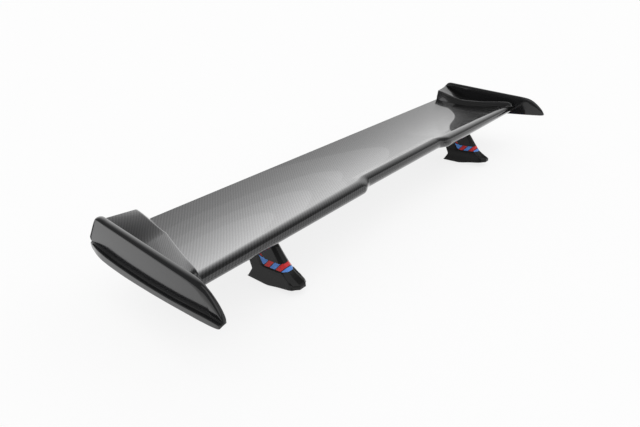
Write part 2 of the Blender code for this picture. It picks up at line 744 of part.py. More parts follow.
def make_shell(label, side):
    """The moulded pillar: outer skin up through the levels, inner skin back down, two access holes."""
    name = f"stand_shell_{label}"
    head = (HEAD_FRONT_Y, HEAD_REAR_Y, HEAD_THICKNESS)
    outer, inner = [], []
    for i, (height, *plan) in enumerate(STAND_LEVELS):
        height = max(height, FOOT_BOTTOM_Z)
        outer.append(stand_ring(side, plan_outline(*plan, 0.0), height))
        lift = SHELL_WALL if i in TOE_LEVELS else 0.0
        inner.append(stand_ring(side, plan_outline(*plan, SHELL_WALL), height + lift))
    outer.append(stand_ring(side, plan_outline(*head, 0.0), head_height))
    inner.append(stand_ring(side, plan_outline(*head, SHELL_WALL), head_height))
    shell = add_node(name, loft(name, outer + inner[::-1], ends="joined"), "satin_black", STAND_BASE)
    reach = HEAD_THICKNESS
    for place, y in (("pivot", PIVOT_Y), ("angle", ANGLE_SCREW_Y)):
        hole = flat_mesh("access", [circle((0, 0), ACCESS_RADIUS)], reach)
        spot = (side * (STAND_X - reach / 2), y, PIVOT_Z)
        boolean(shell, add_tool(f"access_{place}_{label}", hole, spot, SIDEWAYS), "DIFFERENCE")
    return shell


def make_foot(label, side):
    """Gasket, foot plate and threaded inserts under one stand."""
    middle = side * STAND_X
    bolt_holes = [circle((0, y), INSERT_BORE + 2 * GAP) for y in INSERT_Y]
    (_, *base_plan), (_, _, waist_rear, waist_thickness), *_ = STAND_LEVELS
    gasket = flat_mesh("foot_gasket", [plan_outline(*base_plan, 0.0), *bolt_holes], GASKET_THICKNESS)
    add_node(f"foot_gasket_{label}", gasket, "rubber", STAND_BASE, (middle, 0, GASKET_THICKNESS / 2))
    seat = plan_outline(base_plan[0], waist_rear, waist_thickness, SHELL_WALL + 2 * GAP)
    holes = [circle((0, y), INSERT_RADIUS + GAP) for y in INSERT_Y]
    plate = flat_mesh("foot_plate", [seat, *holes], FOOT_THICKNESS)
    spot = (middle, 0, FOOT_BOTTOM_Z + FOOT_THICKNESS / 2)
    foot = add_node(f"foot_plate_{label}", plate, "alloy", STAND_BASE, spot)
    for place, y in zip(("front", "rear"), INSERT_Y):
        rings = [circle((0, 0), INSERT_RADIUS), circle((0, 0), INSERT_BORE)]
        ring = flat_mesh("insert", rings, FOOT_THICKNESS)
        add_node(f"threaded_insert_{place}_{label}", ring, "steel", STAND_BASE, (middle, y, spot[2]))
    return foot


def make_upright(label, side, foot):
    """Machined fork from the foot plate to the stand's head, with its foot and hinge screws."""
    name = f"upright_{label}"
    middle = side * STAND_X
    top = min(head_height(UPRIGHT_HEAD_FRONT), head_height(UPRIGHT_HEAD_REAR)) - SLACK
    base = FOOT_TOP_Z + GAP
    corners = [
        (UPRIGHT_FOOT_FRONT, base, UPRIGHT_FOOT_CORNER), (UPRIGHT_FOOT_REAR, base, UPRIGHT_FOOT_CORNER),
        (UPRIGHT_HEAD_REAR, top, UPRIGHT_HEAD_CORNER), (UPRIGHT_HEAD_FRONT, top, UPRIGHT_HEAD_CORNER),
    ]
    window_z = (base + PIVOT_Z) / 2 - LIGHTENING_RADIUS
    share = (window_z - base) / (top - base)
    foot_middle = (UPRIGHT_FOOT_FRONT + UPRIGHT_FOOT_REAR) / 2
    head_middle = (UPRIGHT_HEAD_FRONT + UPRIGHT_HEAD_REAR) / 2
    window_y = lerp(foot_middle, head_middle, share)
    window = circle((window_y, window_z), LIGHTENING_RADIUS)
    fork = flat_mesh(name, [rounded_outline(corners, FORK_STEPS), window], FORK_WIDTH)
    upright = add_node(name, fork, "alloy", STAND_BASE, (middle, 0, 0), SIDEWAYS)
    slot_low = lug_bottom() - SLOT_ROOM
    half_slot = LUG_THICKNESS / 2 + GAP
    slot = box_mesh("slot", (middle - half_slot, -1, slot_low), (middle + half_slot, 1, top + SLACK))
    boolean(upright, add_tool(f"slot_{label}", slot), "DIFFERENCE")

    hinge = (HINGE_HEAD_RADIUS, HINGE_HEAD_HEIGHT, HINGE_SCREW_RADIUS)
    inward = (0.0, -side * pi / 2, 0.0)
    for place, y in (("pivot", PIVOT_Y), ("angle", ANGLE_SCREW_Y)):
        spot = (middle - side * FORK_WIDTH / 2, y, PIVOT_Z)
        screw = turned_mesh(f"{place}_screw", countersunk_profile(*hinge, FORK_WIDTH))
        add_turning(add_node(f"{place}_screw_{label}", screw, "steel", STAND_BASE, spot, inward))
        hole = turned_mesh("screw_hole", countersunk_profile(*hinge, FORK_WIDTH + SLACK, GAP))
        tool = add_tool(f"{place}_hole_{label}", hole, spot, inward)
        add_turning(tool)
        boolean(upright, tool, "DIFFERENCE")

    fixing = (FOOT_HEAD_RADIUS, FOOT_HEAD_HEIGHT, FOOT_SCREW_RADIUS, FOOT_SCREW_LENGTH)
    for place, y in zip(("front", "rear"), FOOT_SCREW_Y):
        spot = (middle, y, FOOT_BOTTOM_Z)
        screw = turned_mesh("foot_screw", countersunk_profile(*fixing))
        add_turning(add_node(f"foot_screw_{place}_{label}", screw, "steel", STAND_BASE, spot, (pi, 0, 0)))
        hole = turned_mesh("foot_screw_hole", countersunk_profile(*fixing, GAP))
        tool = add_tool(f"foot_screw_hole_{place}_{label}", hole, spot, (pi, 0, 0))
        add_turning(tool)
        boolean(foot, tool, "DIFFERENCE")
        boolean(upright, tool, "DIFFERENCE")


# Hinge lug under the blade

def arc_slot(radius):
    """Outline of the curved slot that the angle screw runs in, as the wing carries it."""
    points = []
    for edge, sweep in ((ANGLE_SCREW_REACH + radius, (0, -1)), (ANGLE_SCREW_REACH - radius, (-1, 0))):
        for i in range(FILLET_STEPS + 1):
            angle = ANGLE_RANGE * lerp(*sweep, i / FILLET_STEPS)
            points.append((PIVOT_Y + edge * cos(angle), PIVOT_Z + edge * sin(angle)))
        end = ANGLE_RANGE * sweep[1]
        middle = (PIVOT_Y + ANGLE_SCREW_REACH * cos(end), PIVOT_Z + ANGLE_SCREW_REACH * sin(end))
        start = end if edge > ANGLE_SCREW_REACH else end + pi
        for i in range(1, FILLET_STEPS):
            angle = start - pi * i / FILLET_STEPS
            points.append((middle[0] + radius * cos(angle), middle[1] + radius * sin(angle)))
    return points


def lug_bottom():
    """Lowest edge of the lug: below the end of its slot."""
    return PIVOT_Z - ANGLE_SCREW_REACH * sin(ANGLE_RANGE) - LUG_RIM


def make_hard_point(label, side, lower_skin):
    """Metal block between the skins whose lug comes through the lower skin into the fork."""
    middle = side * STAND_X
    half = HARD_POINT_WIDTH / 2
    block = bay_block(f"hard_point_{label}", middle - half, middle + half, "alloy")
    front = PIVOT_Y - LUG_RIM
    rear = ANGLE_SCREW_Y + LUG_RIM
    root = mid_height(middle, PIVOT_Y)
    low = lug_bottom()
    corners = [
        (front, low, LUG_TOE_CORNER), (rear, low, LUG_TOE_CORNER),
        (rear, root, LUG_ROOT_CORNER), (front, root, LUG_ROOT_CORNER),
    ]
    bush_radius = HINGE_SCREW_RADIUS + GAP + BUSH_WALL
    holes = [circle((PIVOT_Y, PIVOT_Z), bush_radius + GAP), arc_slot(HINGE_SCREW_RADIUS + GAP)]
    lug = flat_mesh("lug", [rounded_outline(corners, FORK_STEPS), *holes], LUG_THICKNESS)
    boolean(block, add_tool(f"lug_{label}", lug, (middle, 0, 0), SIDEWAYS), "UNION")

    pass_half = LUG_THICKNESS / 2 + GAP
    near, far = (middle - pass_half, front - GAP, low), (middle + pass_half, rear + GAP, root)
    window = box_mesh("lug_window", near, far)
    boolean(lower_skin, add_tool(f"lug_window_{label}", window), "DIFFERENCE")

    bush_rings = [circle((0, 0), bush_radius), circle((0, 0), HINGE_SCREW_RADIUS + GAP)]
    bush = flat_mesh("bush", bush_rings, LUG_THICKNESS)
    add_node(f"pivot_bush_{label}", bush, "bronze", WING_PIVOT, (middle, PIVOT_Y, PIVOT_Z), SIDEWAYS)
    return block


def make_spar_screws(label, side, block, spar):
    """Two screws from the front spar's web into a hard point."""
    web = FRONT_SPAR_Y + FRONT_SPAR_DEPTH - SPAR_WALL
    for place, offset in (("inner", -SPAR_SCREW_OFFSET), ("outer", SPAR_SCREW_OFFSET)):
        x = side * (STAND_X + offset)
        spot = (x, web - SPAR_HEAD_HEIGHT - GAP, mid_height(x, web))
        neck = -SPAR_HEAD_HEIGHT
        profile = [(0, 0), (SPAR_HEAD_RADIUS, 0), (SPAR_HEAD_RADIUS, neck), (SPAR_SCREW_RADIUS, neck),
                   (SPAR_SCREW_RADIUS, -SPAR_SCREW_LENGTH), (0, -SPAR_SCREW_LENGTH)]
        mesh = turned_mesh("spar_screw", profile)
        screw = add_node(f"spar_screw_{place}_{label}", mesh, "steel", WING_PIVOT, spot, (pi / 2, 0, 0))
        add_turning(screw)
        hole_length = 2 * (SPAR_SCREW_LENGTH + GAP)
        hole = flat_mesh("spar_screw_hole", [circle((0, 0), SPAR_SCREW_RADIUS + GAP)], hole_length)
        tool = add_tool(f"spar_screw_hole_{place}_{label}", hole, spot, (pi / 2, 0, 0))
        boolean(block, tool, "DIFFERENCE")
        boolean(spar, tool, "DIFFERENCE")


# Assembly

def main():
    """Build the wing and the two stands."""
    _, lower_skin = make_skins()
    front_spar = make_spar("front_spar", FRONT_SPAR_Y + FRONT_SPAR_DEPTH, FRONT_SPAR_Y)
    make_spar("rear_spar", REAR_SPAR_Y, REAR_SPAR_Y + REAR_SPAR_DEPTH)
    bay_block("centre_rib", -CENTRE_RIB_WIDTH / 2, CENTRE_RIB_WIDTH / 2, "carbon")
    for label, side in SIDES:
        plate = make_end_plate(label, side)
        make_dowels_and_end_rib(label, side, plate)
        make_fairing(label, side)
        block = make_hard_point(label, side, lower_skin)
        make_spar_screws(label, side, block, front_spar)
        make_shell(label, side)
        foot = make_foot(label, side)
        make_upright(label, side, foot)


main()
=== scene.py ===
"""Racing rear wing: the looks of every piece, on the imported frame.

Frame: metres, +X along the span, the leading edge towards -Y, +Z up, the stands' base at Z = 0.
"""

from __future__ import annotations

import logging
import math
from dataclasses import dataclass
from enum import Enum
from typing import Any, Callable, Sequence

import bpy
import numpy as np
from mathutils import Matrix, Vector


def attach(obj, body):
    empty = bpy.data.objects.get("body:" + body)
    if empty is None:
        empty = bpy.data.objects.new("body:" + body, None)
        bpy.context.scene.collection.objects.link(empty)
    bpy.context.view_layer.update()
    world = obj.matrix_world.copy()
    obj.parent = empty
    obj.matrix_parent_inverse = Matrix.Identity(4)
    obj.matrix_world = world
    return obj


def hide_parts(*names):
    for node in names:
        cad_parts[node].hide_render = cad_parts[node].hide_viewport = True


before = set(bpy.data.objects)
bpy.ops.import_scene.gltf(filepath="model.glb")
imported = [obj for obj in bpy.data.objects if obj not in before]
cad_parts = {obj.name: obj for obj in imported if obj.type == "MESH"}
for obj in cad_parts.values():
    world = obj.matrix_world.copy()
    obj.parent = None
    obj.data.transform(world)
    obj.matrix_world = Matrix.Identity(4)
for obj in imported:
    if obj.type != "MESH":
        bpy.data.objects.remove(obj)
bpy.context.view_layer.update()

LOG = logging.getLogger("rear_wing")
WHITE = (1.0, 1.0, 1.0, 1.0)
BLACK = (0.0, 0.0, 0.0)
WEAVE_MAP = "weave"  # UV map in metres
MARK = "mark"  # attribute, 1 on the part of a piece that has its second finish
GAP = 0.0003  # between pieces that touch

Array = np.ndarray


class Side(Enum):
    """The two ends of the span; the value is the sign of X."""

    LEFT = -1
    RIGHT = 1

    @property
    def label(self) -> str:
        """The side as it stands in the names of the nodes."""
        return self.name.lower()


class Body(Enum):
    """The two bodies of the frame."""

    STANDS = "stands"
    WING = "wing"


class Cap(Enum):
    """How a loft closes at its first and last ring."""

    FACE = "one flat face"
    STRIP = "a strip across a thin wall"
    JOINED = "the last ring joins the first"


class Coords(Enum):
    """Where a weave reads its place from."""

    UV = "the piece's own UV map"
    OBJECT = "Object coordinates"


# Shapes as arrays

def smooth(t: Array) -> Array:
    """Smooth step: 3 t squared less 2 t cubed, on 0 to 1."""
    t = np.clip(t, 0.0, 1.0)
    return t * t * (3.0 - 2.0 * t)


def mix(a: Any, b: Any, t: Any) -> Any:
    """Straight mix: a at t = 0 and b at t = 1."""
    return a + (b - a) * t


def shares(steps: int) -> Array:
    """Even shares from 0 to 1."""
    return np.linspace(0.0, 1.0, steps + 1)


def progress(place: Array, start: Any, stop: Any) -> Array:
    """Straight rise from 0 at the start to 1 at the stop, level beyond them."""
    return np.clip((place - start) / (stop - start), 0.0, 1.0)


def unit(vectors: Array) -> Array:
    """Vectors over their own lengths."""
    return vectors / np.linalg.norm(vectors, axis=-1, keepdims=True)


def heading(angle: float) -> Array:
    """Unit vector at an angle from the first axis."""
    return np.array([math.cos(angle), math.sin(angle)])


def arc_lengths(points: Array) -> Array:
    """Length along each row of points, summed from its first point."""
    steps = np.linalg.norm(np.diff(points, axis=-2), axis=-1)
    return np.concatenate([np.zeros_like(steps[..., :1]), np.cumsum(steps, axis=-1)], axis=-1)


def turned(places: Array, angle: float) -> Array:
    """Places in a plane as axes turned by an angle read them: (u cos + v sin, v cos - u sin)."""
    u, v = places[..., 0], places[..., 1]
    c, s = math.cos(angle), math.sin(angle)
    return np.stack([u * c + v * s, v * c - u * s], axis=-1)


def bezier(a: Array, b: Array, c: Array, d: Array, t: Array) -> Array:
    """Cubic Bezier curve: its points weighted by s cubed, 3 s s t, 3 s t t and t cubed, where s is 1 - t."""
    s = 1.0 - t
    return s**3 * a + 3.0 * s * s * t * b + 3.0 * s * t * t * c + t**3 * d


def bezier_way(a: Array, b: Array, c: Array, d: Array, t: Array) -> Array:
    """A third of the rate at which that curve runs: its steps weighted by s s, 2 s t and t t."""
    s = 1.0 - t
    return s * s * (b - a) + 2.0 * s * t * (c - b) + t * t * (d - c)


class MonotoneCurve:
    """Smooth curves through the rows of a table, which never overshoot them.

    Each column is a cubic Hermite curve. Its slope at a row is the harmonic mean of the slopes to the two
    neighbours, or zero where the column turns.
    """

    def __init__(self, rows: Sequence[Sequence[float]]) -> None:
        """Work out the slopes.

        Args:
            rows: the place in the first column, the values in the others.
        """
        table = np.asarray(rows, dtype=float)
        self.places, self.values = table[:, 0], table[:, 1:]
        slope = np.diff(self.values, axis=0) / np.diff(self.places)[:, None]
        product, total = slope[:-1] * slope[1:], slope[:-1] + slope[1:]
        mean = np.where(product > 0.0, 2.0 * product / np.where(total == 0.0, 1.0, total), 0.0)
        self.slopes = np.vstack([slope[:1], mean, slope[-1:]])

    def __call__(self, place: Array) -> Array:
        """Values at places.

        Args:
            place: an array of places.

        Returns:
            The values, with the table's columns as the last axis.
        """
        row = np.clip(np.searchsorted(self.places, place, side="right") - 1, 0, len(self.places) - 2)
        width = (self.places[row + 1] - self.places[row])[..., None]
        t = (place - self.places[row])[..., None] / width
        s = 1.0 - t
        near = s * s * ((1.0 + 2.0 * t) * self.values[row] + t * width * self.slopes[row])
        far = t * t * ((3.0 - 2.0 * t) * self.values[row + 1] - s * width * self.slopes[row + 1])
        return near + far


def rounded_outline(corners: Array, radii: Sequence[float], steps: int) -> Array:
    """Closed outlines with each corner replaced by an arc.

    The arc's centre lies on the corner's bisector at radius over the sine of the half angle, and the arc
    turns from one tangent point to the other.

    Args:
        corners: corner points, (..., corners, 2).
        radii: one radius for each corner.
        steps: steps along each arc.

    Returns:
        The points, (..., corners * (steps + 1), 2).
    """
    to_last = unit(np.roll(corners, 1, axis=-2) - corners)
    to_next = unit(np.roll(corners, -1, axis=-2) - corners)
    half = 0.5 * np.arccos(np.clip(np.sum(to_last * to_next, axis=-1, keepdims=True), -1.0, 1.0))
    middle = unit(to_last + to_next)
    radius = np.asarray(radii)[:, None]
    centre = corners + middle * radius / np.sin(half)
    start = corners + to_last * radius / np.tan(half) - centre
    stop = corners + to_next * radius / np.tan(half) - centre
    first = np.arctan2(start[..., 1], start[..., 0])
    sweep = np.arctan2(stop[..., 1], stop[..., 0]) - first
    sweep = (sweep + math.pi) % (2.0 * math.pi) - math.pi
    angle = first[..., None] + sweep[..., None] * shares(steps)
    spokes = np.stack([np.cos(angle), np.sin(angle)], axis=-1)
    points = centre[..., None, :] + radius[..., None] * spokes
    return points.reshape(*corners.shape[:-2], -1, 2)


def inset_corners(corners: Array, inset: float) -> Array:
    """Counter-clockwise corners moved inwards, each along the sum of its sides' inward normals.

    Args:
        corners: corner points, (..., corners, 2).
        inset: distance of the new sides from the old.

    Returns:
        The moved corners.
    """
    ahead = unit(np.roll(corners, -1, axis=-2) - corners)
    inward = np.stack([-ahead[..., 1], ahead[..., 0]], axis=-1)
    before = np.roll(inward, 1, axis=-2)
    share = 1.0 + np.sum(inward * before, axis=-1, keepdims=True)
    return corners + inset * (inward + before) / share


def inside_distance(points: Array, outline: Array) -> Array:
    """Distance to a closed outline, positive inside it.

    The distance is the least to any side; a point is inside where a level ray from it crosses the sides an
    odd number of times.

    Args:
        points: places, (..., 2).
        outline: the outline's corners, (corners, 2).

    Returns:
        The signed distances, (...).
    """
    start, stop = outline, np.roll(outline, -1, axis=0)
    side = stop - start
    offset = points[..., None, :] - start
    share = np.clip(np.sum(offset * side, axis=-1) / np.sum(side * side, axis=-1), 0.0, 1.0)
    least = np.linalg.norm(offset - share[..., None] * side, axis=-1).min(axis=-1)
    spans = (start[:, 1] > points[..., None, 1]) != (stop[:, 1] > points[..., None, 1])
    rise = np.where(side[:, 1] == 0.0, 1.0, side[:, 1])
    ahead = offset[..., 0] < side[:, 0] * offset[..., 1] / rise
    return np.where(np.sum(spans & ahead, axis=-1) % 2 == 1, least, -least)


# Meshes

@dataclass
class Loft:
    """A closed surface through rings of points: quads between neighbours, ends closed as asked."""

    name: str
    rings: Array  # (rings, points, 3)
    cap: Cap
    uv: Array | None = None  # (rings, points + 1, 2), metres
    mark: Array | None = None  # (rings, points)
    crease: float = math.radians(35.0)

    def polygons(self) -> list[Array]:
        """Corner places as pairs (ring, column); the column after the last one is the first again.

        Returns:
            Arrays of (faces, corners, 2).
        """
        count, width = self.rings.shape[:2]
        last = count if self.cap is Cap.JOINED else count - 1
        ring, column = np.meshgrid(np.arange(last), np.arange(width), indexing="ij")
        around = np.stack([column, column + 1, column + 1, column], axis=-1)
        along = np.stack([ring, ring, ring + 1, ring + 1], axis=-1)
        faces = [np.stack([along, around], axis=-1).reshape(-1, 4, 2)]
        if self.cap is Cap.STRIP:
            i = np.arange(width // 2 - 1)
            ends = np.stack([i, i + 1, width - 2 - i, width - 1 - i], axis=-1)
        elif self.cap is Cap.FACE:
            ends = np.arange(width)[None, :]
        else:
            return faces
        for row, order in ((0, ends[:, ::-1]), (count - 1, ends)):
            faces.append(np.stack([np.full_like(order, row), order], axis=-1))
        return faces

    def build(self) -> bpy.types.Object:
        """Put the surface into a mesh object, faces outwards.

        Returns:
            The object, linked to the scene.
        """
        count, width = self.rings.shape[:2]
        points = self.rings.reshape(-1, 3)
        faces = self.polygons()
        corners = [(f[..., 0] % count) * width + f[..., 1] % width for f in faces]
        if sum(signed_volume(points, c) for c in corners) < 0.0:
            faces = [f[:, ::-1] for f in faces]
            corners = [c[:, ::-1] for c in corners]
        mesh = bpy.data.meshes.new(self.name)
        mesh.vertices.add(len(points))
        mesh.vertices.foreach_set("co", points.astype(np.float32).ravel())
        loops = np.concatenate([c.ravel() for c in corners])
        sizes = np.concatenate([np.full(len(c), c.shape[1]) for c in corners])
        mesh.loops.add(len(loops))
        mesh.loops.foreach_set("vertex_index", loops.astype(np.int32))
        mesh.polygons.add(len(sizes))
        mesh.polygons.foreach_set("loop_start", (np.cumsum(sizes) - sizes).astype(np.int32))
        mesh.polygons.foreach_set("use_smooth", np.ones(len(sizes), dtype=bool))
        mesh.update(calc_edges=True)
        if self.uv is not None:
            flat = np.concatenate([f.reshape(-1, 2) for f in faces])
            places = self.uv[flat[:, 0] % count, flat[:, 1]]
            layer = mesh.uv_layers.new(name=WEAVE_MAP)
            layer.uv.foreach_set("vector", places.astype(np.float32).ravel())
        if self.mark is not None:
            attribute = mesh.attributes.new(MARK, "FLOAT", "POINT")
            attribute.data.foreach_set("value", self.mark.astype(np.float32).ravel())
        mesh.validate()
        mesh.set_sharp_from_angle(angle=self.crease)
        piece = bpy.data.objects.new(self.name, mesh)
        bpy.context.scene.collection.objects.link(piece)
        return piece


def signed_volume(points: Array, faces: Array) -> float:
    """Volume under faces seen from the origin: a sixth of each fan's triple products."""
    corner = points[faces]
    return float(np.einsum("fi,fki->", corner[:, 0], np.cross(corner[:, 1:-1], corner[:, 2:]))) / 6.0


def cut(piece: bpy.types.Object, cutters: Sequence[bpy.types.Object]) -> None:
    """Take the cutters' volumes out of a piece for good, and remove the cutters.

    Args:
        piece: the piece to cut.
        cutters: closed meshes.
    """
    for cutter in cutters:
        modifier = piece.modifiers.new("cut", "BOOLEAN")
        modifier.object = cutter
        modifier.solver = "FAST"
    evaluated = piece.evaluated_get(bpy.context.evaluated_depsgraph_get())
    mesh = bpy.data.meshes.new_from_object(evaluated)
    whole = piece.data
    piece.modifiers.clear()
    piece.data = mesh
    bpy.data.meshes.remove(whole)
    mesh.name = piece.name
    for cutter in cutters:
        bpy.data.meshes.remove(cutter.data)


def prism(name: str, outline: Array, x_from: float, x_to: float) -> bpy.types.Object:
    """A closed outline (Y, Z) carried straight along X."""
    rings = np.stack([np.insert(outline, 0, x, axis=1) for x in (x_from, x_to)])
    return Loft(name, rings, Cap.FACE).build()


def circle(centre: Sequence[float], radius: float, steps: int) -> Array:
    """Points of a circle: the centre plus the radius times cosine and sine of even angles."""
    angle = np.linspace(0.0, 2.0 * math.pi, steps, endpoint=False)
    return np.asarray(centre) + radius * np.stack([np.cos(angle), np.sin(angle)], axis=-1)


def settle(piece: bpy.types.Object, body: Body, node: str, finish: Finish) -> None:
    """Dress a piece, let it ride on its body and stand in for its CAD node.

    Args:
        piece: the new piece.
        body: the body that carries it.
        node: the CAD node that it replaces.
        finish: the piece's finish.
    """
    finish.dress(piece)
    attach(piece, body.value)
    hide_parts(node)
    LOG.info("%s: %d faces, %s", piece.name, len(piece.data.polygons), finish.name)


# Shader maths

def operator(operation: str, reflected: bool = False) -> Callable[[Shade, Any], Shade]:
    """An operator of Shade.

    Args:
        operation: the Math node's operation.
        reflected: the other value comes first.

    Returns:
        A method that adds the node.
    """
    def apply(shade: Shade, other: Shade | float) -> Shade:
        """A Math node on both values."""
        return shade.tree.math(operation, *((other, shade) if reflected else (shade, other)))

    return apply


class Shade:
    """A value in a shader tree; its operators add Math nodes."""

    __add__, __radd__ = operator("ADD"), operator("ADD", True)
    __sub__, __rsub__ = operator("SUBTRACT"), operator("SUBTRACT", True)
    __mul__, __rmul__ = operator("MULTIPLY"), operator("MULTIPLY", True)
    __truediv__, __rtruediv__ = operator("DIVIDE"), operator("DIVIDE", True)
    __mod__, __rmod__ = operator("FLOORED_MODULO"), operator("FLOORED_MODULO", True)

    def __init__(self, tree: Tree, socket: bpy.types.NodeSocket) -> None:
        """Keep the tree and the socket that gives the value."""
        self.tree = tree
        self.socket = socket

    def math(self, operation: str, *others: Shade | float) -> Shade:
        """A Math node that starts from this value."""
        return self.tree.math(operation, self, *others)

    def floor(self) -> Shade:
        """Largest whole number not above the value."""
        return self.math("FLOOR")

    def part(self) -> Shade:
        """What is left above the floor."""
        return self.math("FRACT")

    def below(self, limit: Shade | float) -> Shade:
        """1 where the value is below the limit, else 0."""
        return self.math("LESS_THAN", limit)

    def blend(self, low: Any, high: Any) -> Shade:
        """Mix of two values or shades by this one."""
        return low + (high - low) * self

    def step(self, low: float, high: float) -> Shade:
        """Smooth step from 0 at low to 1 at high."""
        settings = {"interpolation_type": "SMOOTHSTEP"}
        return self.tree.node("ShaderNodeMapRange", settings, {"Value": self, 1: low, 2: high})


class Tree:
    """A material's or the world's node tree."""

    def __init__(self, nodes: bpy.types.NodeTree) -> None:
        """Take over a tree and clear it."""
        self.nodes = nodes
        nodes.nodes.clear()

    def node(self, kind: str, settings: dict[str, Any], inputs: dict[Any, Any], output: Any = 0) -> Shade:
        """Add a node: its settings first, then its sockets' values and links.

        Args:
            kind: the node's type.
            settings: its properties.
            inputs: values or shades by the socket's name or number.
            output: the name or number of the output to use.

        Returns:
            The output as a shade.
        """
        node = self.nodes.nodes.new(kind)
        for name, value in settings.items():
            setattr(node, name, value)
        for name, value in inputs.items():
            if isinstance(value, Shade):
                self.nodes.links.new(value.socket, node.inputs[name])
            else:
                node.inputs[name].default_value = value
        return Shade(self, node.outputs[output] if len(node.outputs) else None)

    def math(self, operation: str, *values: Shade | float) -> Shade:
        """A Math node on one to three values."""
        return self.node("ShaderNodeMath", {"operation": operation}, dict(enumerate(values)))

    def place(self, source: Coords) -> Shade:
        """The vector that a pattern reads its place from."""
        if source is Coords.UV:
            return self.node("ShaderNodeUVMap", {"uv_map": WEAVE_MAP}, {})
        return self.node("ShaderNodeTexCoord", {}, {}, "Object")

    def axes(self, vector: Shade) -> tuple[Shade, Shade, Shade]:
        """The three numbers of a vector."""
        split = self.node("ShaderNodeSeparateXYZ", {}, {0: vector})
        return tuple(Shade(self, socket) for socket in split.socket.node.outputs)

    def vector(self, *values: Shade | float) -> Shade:
        """A vector from three numbers."""
        return self.node("ShaderNodeCombineXYZ", {}, dict(enumerate(values)))

    def noise(self, vector: Shade, scale: float, detail: float = 2.0) -> Shade:
        """Noise from 0 to 1; scale counts its features to the metre."""
        return self.node("ShaderNodeTexNoise", {}, {"Vector": vector, "Scale": scale, "Detail": detail})

    def colour(self, factor: Shade | float, low: Any, high: Any) -> Shade:
        """Mix of two colours, given as numbers or shades."""
        full = [(*c, 1.0) if isinstance(c, tuple) else c for c in (low, high)]
        inputs = {0: factor, 6: full[0], 7: full[1]}
        return self.node("ShaderNodeMix", {"data_type": "RGBA"}, inputs, 2)

    def bump(self, height: Shade, depth: float, strength: float) -> Shade:
        """A normal from a height of 0 to 1 that stands for a depth in metres."""
        inputs = {"Height": height, "Distance": depth, "Strength": strength}
        return self.node("ShaderNodeBump", {}, inputs)

    def mark(self) -> Shade:
        """The piece's own mark."""
        return self.node("ShaderNodeAttribute", {"attribute_name": MARK}, {}, "Fac")

    def rays(self) -> tuple[Shade, Shade]:
        """1 on rays from the camera, and 1 on rays from gloss or through glass."""
        path = self.node("ShaderNodeLightPath", {}, {}, "Is Camera Ray")
        outputs = path.socket.node.outputs
        glossy, through = (Shade(self, outputs[f"Is {kind} Ray"]) for kind in ("Glossy", "Transmission"))
        return path, (glossy + through).math("MINIMUM", 1.0)


# Finishes

def grey(level: float) -> tuple[float, float, float]:
    """A colour with three equal parts."""
    return (level, level, level)


@dataclass(frozen=True)
class Finish:
    """A procedural material."""

    name: str

    def inputs(self, tree: Tree) -> dict[str, Any]:
        """The Principled shader's values and shades, by socket."""
        raise NotImplementedError

    def surface(self, tree: Tree, shader: Shade) -> Shade:
        """What the material's output takes: the Principled shader, unless a finish adds to it."""
        return shader

    def material(self) -> bpy.types.Material:
        """The material, made once.

        Returns:
            A material with one Principled shader.
        """
        known = bpy.data.materials.get(f"look_{self.name}")
        if known:
            return known
        material = bpy.data.materials.new(f"look_{self.name}")
        material.use_nodes = True
        tree = Tree(material.node_tree)
        shader = tree.node("ShaderNodeBsdfPrincipled", {}, self.inputs(tree))
        tree.node("ShaderNodeOutputMaterial", {}, {"Surface": self.surface(tree, shader)})
        return material

    def dress(self, piece: bpy.types.Object) -> None:
        """Make this the only material of a piece."""
        piece.data.materials.clear()
        piece.data.materials.append(self.material())


@dataclass(frozen=True)
class Twill(Finish):
    """Carbon cloth: half-round tows over two and under two, streaked by fibres, with a clear coat or none."""

    source: Coords = Coords.UV
    tow: float = 0.00179
    over_tows: float = 2.0  # that a tow runs over, and then under
    # painted sheen: warp and weft are one black fibre, the warp's lighter tone stands in for the fibres' glint
    warp: float = 0.080
    weft: float = 0.046
    tint: tuple[float, float, float] = (1.0, 1.0, 1.02)
    roughness: float = 0.18
    coat: float = 1.0
    coat_roughness: float = 0.025
    crown: float = 0.0002  # height of a tow's middle over its edges
    relief: float = 0.10
    edge_shade: float = 0.28  # painted shade: share of its tone that a tow loses at its edges
    streaks: float = 2600.0  # across a tow, to the metre
    streak_stretch: float = 0.06
    streak_shade: float = 0.40  # range of the tone from streak to streak
    streak_roughness: float = 0.08

    def inputs(self, tree: Tree) -> dict[str, Any]:
        """Cells of the cloth by whole tows; with two over, (column - row) mod 4 is 0 or 1 on a warp cell."""
        u, v, w = tree.axes(tree.place(self.source))
        if self.source is Coords.OBJECT:
            v = v + w
        column, row = u / self.tow, v / self.tow
        over = ((column.floor() - row.floor()) % (2.0 * self.over_tows)).below(self.over_tows - 0.5)
        across = over.blend(row.part(), column.part()) * 2.0 - 1.0
        crown = 1.0 - across * across
        fine, long = self.streaks, self.streaks * self.streak_stretch
        warp_fibre = tree.noise(tree.vector(u * fine, v * long, 0.0), 1.0)
        weft_fibre = tree.noise(tree.vector(u * long, v * fine, 0.0), 1.0)
        fibre = over.blend(weft_fibre, warp_fibre)
        # painted shade: each tow darker towards its edges, where it rounds down under its neighbours
        tow_painted_shade = 1.0 - self.edge_shade + self.edge_shade * crown
        fibre_shade = 1.0 - self.streak_shade / 2.0 + self.streak_shade * fibre
        # painted sheen: the warp's tone is lighter than the weft's
        tone = over.blend(self.weft, self.warp) * tow_painted_shade * fibre_shade
        return {
            "Base Color": tree.colour(tone, BLACK, self.tint),
            "Metallic": 1.0,
            "Roughness": self.roughness + self.streak_roughness * fibre,
            "Normal": tree.bump(crown, self.crown, self.relief),
            "Coat Weight": self.coat,
            "Coat Roughness": self.coat_roughness,
        }


